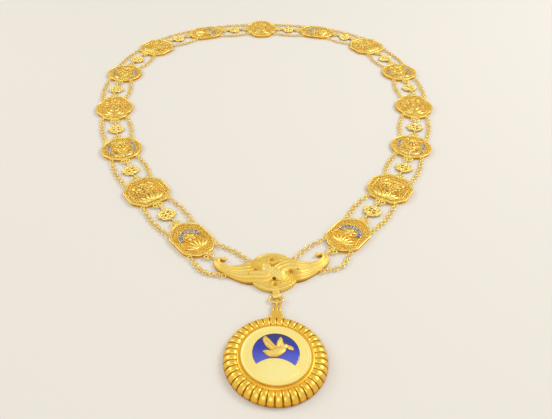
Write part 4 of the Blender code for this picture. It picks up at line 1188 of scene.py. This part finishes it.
# the long wire loop at each wing's tip: the eye it holds, its heading, its half height and its reach
tipLook = {"eye": (44.60, 18.40), "aim": 42, "half": 1.35, "reach": 5.4, "past": 1.2, "wire": 0.8, "middle": 1.85}
work = bmesh.new()
firsts = []
for surface in (wingMesh(wingLook), roundMesh(wingLook)):
    firsts.append(len(work.verts))
    work.from_mesh(cutThrough(asMesh(surface, "solid"), eyelets))
firsts.append(len(work.verts))
for side in (-1, 1):
    for x, y in wingRings.values():
        stamp(work, ringMesh(plaqueLook["ringReach"], plaqueLook["ringWire"]), side * x, y, plaqueLook["ringMiddle"])
    eye, aim, half = tipLook["eye"], math.radians(tipLook["aim"]), tipLook["half"]
    near = half - tipLook["reach"] - tipLook["past"]
    bends = [[math.pi * (k / 8 + turn) for k in range(9)] for turn in (-0.5, 0.5)]
    oval = [(half * math.cos(a), half * math.sin(a)) for a in bends[0]]
    oval += [(near - half + half * math.cos(a), half * math.sin(a)) for a in bends[1]]
    # the oval's far bend reaches half a height past the eye it holds
    points = [(side * (eye[0] + reach * math.cos(aim)), eye[1] + reach * math.sin(aim), tipLook["middle"] + rise)
              for reach, rise in oval]
    stamp(work, wireMesh(points, tipLook["wire"], closed=True, roundness=2), 0, 0)
    # the little curled knob at the wing's end
    stamp(work, ball, side * 33.9, 15.2, 2.0, 0, (2.2, 1.35, 1.4))
stamp(work, strapAt(-22.3, 5.4), 0, 0)
stamp(work, softBlock([(-2.36, -20.6), (2.36, -20.6), (2.36, -16.9), (-2.36, -16.9)], 1.06, 2.9), 0, 0)


# painted light on the ribbon: lighter the higher a place stands, and painted shade in the pits at the fan hearts
def wingRule(spot):
    ground = wingLook["edge"] + 0.55 + wingLook["lift"] * bandLift(spot.x)
    _, out, deep = fanRay(spot.x, spot.y)
    bare = 1 - between(abs(spot.x), 13.4, 20.0)
    warm = bare * ((0.15 + 0.5 * deep) * math.exp(-(out / 2.6) ** 2) if spot.z < ground else 0.0)
    return 0.66 + (spot.z - ground) * 0.30 - warm


# painted light on the round: painted highlight on the rays' ridges and high places, painted shade in the grooves and at
# the fan hearts
def roundRule(spot):
    ray, out, _ = fanRay(spot.x, spot.y)
    return 0.46 + 0.30 * ray - 0.34 * math.exp(-(out / 2.6) ** 2) + 0.5 * max(0.0, spot.z - 3.2)


centreMesh = finishMesh(work, "centre", (0, wingRule), (firsts[1], roundRule), (firsts[2], lambda spot: 0.75))
setDown(centreMesh, "centre_piece_ribbon", centrePlace[:2], centrePlace[2], mattGilt, "pale_gilt", "centre_piece")
print("  centre", len(centreMesh.polygons), "faces")


print("hanger")

ovalLook = {"halfWide": 4.85, "halfLong": 2.8, "square": 0.8, "wire": 1.4}
ringPath = []
for k in range(56):
    angle = 2 * math.pi * k / 56
    bulge = math.copysign(abs(math.cos(angle)) ** ovalLook["square"], math.cos(angle))
    ringPath.append((ovalLook["halfWide"] * bulge, ovalLook["halfLong"] * math.sin(angle), strapLook["height"]))
work = bmesh.new()
stamp(work, wireMesh(ringPath, ovalLook["wire"], closed=True, roundness=4), 0, 0)
# painted light by height: lighter on the top of the wire, darker underneath
ovalMesh = finishMesh(work, "oval", (0, lambda spot: 0.35 + spot.z / 4))
setDown(ovalMesh, "hanger_oval", (2.096, -181.551), 0, wireGilt, "gilt", "hanger_ring")


print("medal")

medalPlace, medalTurn = (-0.505, -230.878), -3.2
medalLook = {"petals": 40, "perPetal": 12, "valley": 1.0, "bead": 0.34, "beads": 12}
# From the bed under the disc, over the collar, up the petals and down the wall: reach, height, how grooved
petalSection = [
    (20.5, 6.25, 0.0), (22.1, 6.35, 0.0), (22.9, 6.55, 0.0), (23.5, 6.50, 0.0), (23.9, 6.10, 0.0), (24.2, 5.95, 0.3),
    (24.5, 6.20, 0.7), (25.0, 6.55, 1.0), (25.7, 6.80, 1.0), (26.6, 6.92, 1.0), (27.6, 6.88, 1.0), (28.6, 6.68, 1.0),
    (29.5, 6.30, 1.0), (30.3, 5.78, 1.0), (31.0, 5.12, 1.0), (31.6, 4.32, 1.0), (32.05, 3.45, 0.95), (32.35, 2.6, 0.85),
    (32.5, 1.9, 0.7), (32.45, 1.2, 0.6), (32.2, 0.6, 0.5), (31.6, 0.12, 0.4), (31.0, 0.0, 0.3),
]


def petalShape(k):  # 0 at a petal's crest, 1 in the groove beside it
    share = (k % medalLook["perPetal"]) / medalLook["perPetal"]
    return abs(2 * share - 1)


petalSteps = medalLook["petals"] * medalLook["perPetal"]
rows = []
for reach, height, groove in petalSection:
    row = []
    for k in range(petalSteps):
        angle = 2 * math.pi * k / petalSteps
        q = petalShape(k)
        sunk = medalLook["valley"] * groove * (0.25 * q * q + 0.75 * q ** 6)
        wiry = 0.0
        if height < 5.2 and reach > 31:  # fine wire-like lines down the wall
            wiry = 0.18 * math.cos(2 * math.pi * k * 3 / medalLook["perPetal"]) * (1 - q)
        outward = reach - sunk * 0.62 - wiry if reach > 24.3 else reach
        row.append((outward * math.cos(angle), outward * math.sin(angle), max(0.0, height - sunk)))
    rows.append(row)
petalsWork = gridSurface(rows, True, None)
bmesh.ops.holes_fill(petalsWork, edges=[e for e in petalsWork.edges if e.is_boundary], sides=0)
bmesh.ops.recalc_face_normals(petalsWork, faces=petalsWork.faces[:])


# painted light on the petals: painted shade in the grooves, down the lower wall and at the inner ends under the disc's
# edge, painted highlight on the crests; the collar under the disc is held at a flat mid tone
def petalRule(spot):
    reach = math.hypot(spot.x, spot.y)
    if reach < 24.0:
        return 0.55
    angle = math.atan2(spot.y, spot.x) % (2 * math.pi)
    place = angle / (2 * math.pi) * medalLook["petals"] % 1
    q = abs(2 * place - 1)
    return 0.92 - 0.80 * q ** 5 - 0.95 * max(0.0, (5.2 - spot.z) / 5.2) - 0.35 * max(0.0, (25.0 - reach) / 1.0)


petalCount = len(petalsWork.verts)
stamp(petalsWork, strapAt(46.6, 2.1), 0, 0)
foot = [(3.9, 30.7), (4.95, 33.5), (4.7, 34.8), (3.6, 35.4), (2.95, 36.7), (2.95, 38.6)]
stamp(petalsWork, softBlock(foot + [(-x, y) for x, y in reversed(foot)], 0.3, 3.0, 0.45), 0, 0)
stamp(petalsWork, softBlock([(-0.95, 37.8), (0.95, 37.8), (0.95, 45.0), (-0.95, 45.0)], 1.1, 2.9, 0.3), 0, 0)
for side in (-1, 1):
    stamp(petalsWork, ball, side * 3.9, 33.5, 2.1, 0, (1.4, 1.6, 1.5))
    corners = [(side * 1.55, 37.8), (side * 2.85, 37.8), (side * 2.85, 44.4), (side * 1.55, 44.4)]
    stamp(petalsWork, softBlock(corners, 1.0, 2.85, 0.4), 0, 0)
petalsMesh = finishMesh(petalsWork, "petals", (0, petalRule), (petalCount, lambda spot: 0.75))
setDown(petalsMesh, "medal_petal_body", medalPlace, medalTurn, polishedGilt, "gilt", "medal_petals")

work = bmesh.new()
for n in range(medalLook["petals"]):  # a dotted line down every groove
    angle = 2 * math.pi * n / medalLook["petals"]
    for k in range(medalLook["beads"]):
        reach = 24.7 + 6.6 * k / (medalLook["beads"] - 1)
        after = next(n for n, (r, _, _) in enumerate(petalSection) if r > reach)
        (r0, h0, g0), (r1, h1, g1) = petalSection[after - 1], petalSection[after]
        share = (reach - r0) / (r1 - r0)
        height = h0 + (h1 - h0) * share - medalLook["valley"] * (g0 + (g1 - g0) * share) + 0.16
        stamp(work, bead, reach * math.cos(angle), reach * math.sin(angle), height, angle, medalLook["bead"])
dots = finishMesh(work, "dots", (0, lambda spot: 0.5))
# the dots' dark brown is painted groove shade
setDown(dots, "medal_petal_dots", medalPlace, medalTurn, dullGilt, "gilt", "medal_petals")

discLook = {"reach": 21.85, "low": 6.0, "high": 7.9, "enamelReach": 14.65, "enamelRise": 1.3, "pocket": 6.6,
            "globeReach": 16.7, "globeTop": -2.8, "rimAt": 21.2, "lineAt": 19.6, "edgeAt": 21.6, "netReach": 18.8}


def enamelOutline(grow, look):
    centre = Vector((0, look["enamelRise"]))
    globe = Vector((0, look["globeTop"] - look["globeReach"]))
    radius, arc = look["enamelReach"] + grow, look["globeReach"] - grow
    apart = (centre - globe).length
    corner = math.acos((apart ** 2 + radius ** 2 - arc ** 2) / (2 * apart * radius))
    lean = math.asin(radius * math.sin(corner) / arc)
    points = []
    for k in range(73):
        a = -math.pi / 2 + corner + (2 * math.pi - 2 * corner) * k / 72
        points.append(centre + Vector((math.cos(a), math.sin(a))) * radius)
    for k in range(1, 24):
        a = math.pi / 2 + lean - 2 * lean * k / 24
        points.append(globe + Vector((math.cos(a), math.sin(a))) * arc)
    return points


def discMesh(look):
    rows = []
    for n in range(60):
        r = 0.02 + (look["reach"] - 0.02) * n / 59
        row = []
        for k in range(160):
            angle = 2 * math.pi * k / 160
            x, y = r * math.cos(angle), r * math.sin(angle)
            z = look["high"] - 0.3
            z += 0.30 * max(0.0, 1 - ((r - look["rimAt"]) / 0.55) ** 2)
            z += 0.12 * max(0.0, 1 - ((r - look["lineAt"]) / 0.35) ** 2)
            if r > look["edgeAt"]:
                z -= 0.25
            gx, gy = x, y - (look["globeTop"] - look["globeReach"])
            d = math.hypot(gx, gy)
            if d < look["globeReach"] and r < look["netReach"]:  # the globe, a little domed, with its net of lines
                dome = 0.22 * (1 - (d / look["globeReach"]) ** 4)
                wave = 0.35 * math.sin(x * 0.9) + 0.2 * math.sin(x * 2.1 + 1)
                net = 0.16 * max(0.0, math.cos((y + wave + 0.02 * x * x) * 2.2)) ** 4 * between(y, -10.5, -7.0)
                net += 0.12 * max(0.0, math.cos(d * 2.6)) ** 4 * (1 - between(y, -17.0, -14.0))
                z += dome + net * min(1.0, (look["netReach"] - r) / 1.5)
            row.append((x, y, z))
        rows.append(row)
    piece = asPiece(asMesh(gridSurface(rows, True, look["low"]), "disc"))
    cutter = plateFrom(enamelOutline(0, look), 3.0, look["pocket"] + 0.3)
    closePlate(cutter)
    pickOnly(piece)
    subtract(piece, cutter)
    bevelled(piece, 0.12, 2, 50)
    bpy.ops.object.shade_smooth_by_angle(angle=math.radians(40))
    return takeMesh(piece)


# painted light by height: the raised rim and net lighter, painted highlight, the lower sides darker, painted shade
discFace = finishMesh(asWork(discMesh(discLook)), "disc", (0, lambda spot: 0.62 + (spot.z - 7.55) * 1.1))
setDown(discFace, "medal_disc_face", medalPlace, medalTurn, sandedGilt, "pale_gilt", "medal_disc")

glassPiece = plateFrom(enamelOutline(-0.25, discLook), 0.5, 6.95)
bpy.ops.mesh.inset(thickness=0.3, depth=0.12)
closePlate(glassPiece, 60)
glass = finishMesh(asWork(takeMesh(glassPiece)), "glass", (0, lambda spot: 1.0))
setDown(glass, "medal_enamel_field", medalPlace, medalTurn, fieldEnamel, "blue_enamel", "medal_enamel")

doveLook = {"size": 1.05, "lift": -1.0, "low": 7.65, "rise": 0.40, "featherHigh": 8.05, "voxel": 0.13}
doveOutline = [
    (-7.9, 10.8), (-7.6, 12.6), (-6.3, 13.6), (-4.0, 11.6), (-1.8, 8.8), (0.0, 7.0), (0.5, 9.6), (1.7, 12.4),
    (2.9, 13.4), (3.9, 11.3), (4.4, 9.0), (5.1, 8.5), (6.0, 8.6), (6.9, 7.9), (8.4, 7.3), (9.9, 6.4), (10.4, 4.4),
    (8.7, 4.2), (7.3, 5.4), (6.2, 5.4), (5.6, 3.4), (3.6, 1.0), (0.8, -0.7), (-2.2, -1.0), (-4.4, -0.7),
    (-6.6, 1.2), (-7.7, 3.0), (-5.0, 3.7), (-2.9, 3.6), (-5.4, 5.6), (-7.0, 8.2),
]


def doveSpot(x, y):
    return x * doveLook["size"], y * doveLook["size"] + doveLook["lift"]


doveCurve = smoothPath([(*doveSpot(x, y), 0) for x, y in doveOutline], 3, closed=True)
outlinePath = [Vector((p.x, p.y)) for p in doveCurve]
area = sum(a.x * b.y - a.y * b.x for a, b in zip(outlinePath, outlinePath[1:] + outlinePath[:1]))
if area < 0:
    outlinePath.reverse()
dovePiece = plateFrom(outlinePath, doveLook["rise"], doveLook["low"])
closePlate(dovePiece, 50)
work = asWork(takeMesh(dovePiece))
feathers = [  # three on the far wing, three on the near one and three in the tail
    [(-7.1, 12.4), (-3.8, 9.0), (-0.6, 5.6)], [(-7.3, 10.6), (-4.6, 7.8), (-1.6, 5.0)],
    [(-6.6, 8.6), (-4.4, 6.6), (-2.2, 4.6)],
    [(2.8, 12.6), (2.4, 9.6), (1.6, 6.2)], [(1.7, 11.0), (1.4, 8.8), (0.9, 6.2)],
    [(3.6, 10.6), (3.4, 8.6), (2.8, 6.4)],
    [(-7.0, 2.7), (-4.6, 2.6), (-2.0, 2.4)], [(-6.0, 1.2), (-4.2, 1.2), (-2.0, 1.4)],
    [(-4.4, 0.0), (-3.0, 0.2), (-1.4, 0.8)],
]
for knobs in feathers:
    path = smoothPath([(*doveSpot(x, y), doveLook["featherHigh"]) for x, y in knobs], 5)
    stamp(work, wireMesh(path, 1.25, ends=0.5), 0, 0)
stamp(work, ball, *doveSpot(1.2, 2.9), 7.95, 0.42, (4.8, 2.7, 0.72))  # body
stamp(work, ball, *doveSpot(5.0, 6.6), 8.0, 0.7, (2.1, 1.4, 0.62))  # neck and head
for foot, tip in (((6.6, 6.6), (9.6, 6.0)), ((7.2, 6.4), (10.2, 4.4)), ((7.0, 6.2), (8.2, 4.2))):  # leaves of the twig
    leafBetween(work, broadLeaf, doveSpot(*foot), doveSpot(*tip), 3.8, 7.95, 1.4)
dovePiece = asPiece(asMesh(work, "dove"))
skin = dovePiece.modifiers.new("skin", "REMESH")  # one skin over body, wings and feathers, as a struck relief has
skin.mode = "VOXEL"
skin.voxel_size = doveLook["voxel"]
bpy.ops.object.modifier_apply(modifier="skin")
soften = dovePiece.modifiers.new("soften", "SMOOTH")
soften.factor = 0.5
soften.iterations = 2
bpy.ops.object.modifier_apply(modifier="soften")
bpy.ops.object.shade_smooth()
# painted light by height: the raised body and feathers lighter, painted highlight, the low edges darker, painted shade
dove = finishMesh(asWork(takeMesh(dovePiece)), "dove", (0, lambda spot: 0.5 + (spot.z - 8.1)))
setDown(dove, "medal_dove_relief", medalPlace, medalTurn, mattGilt, "pale_gilt", "medal_dove")

print("done")
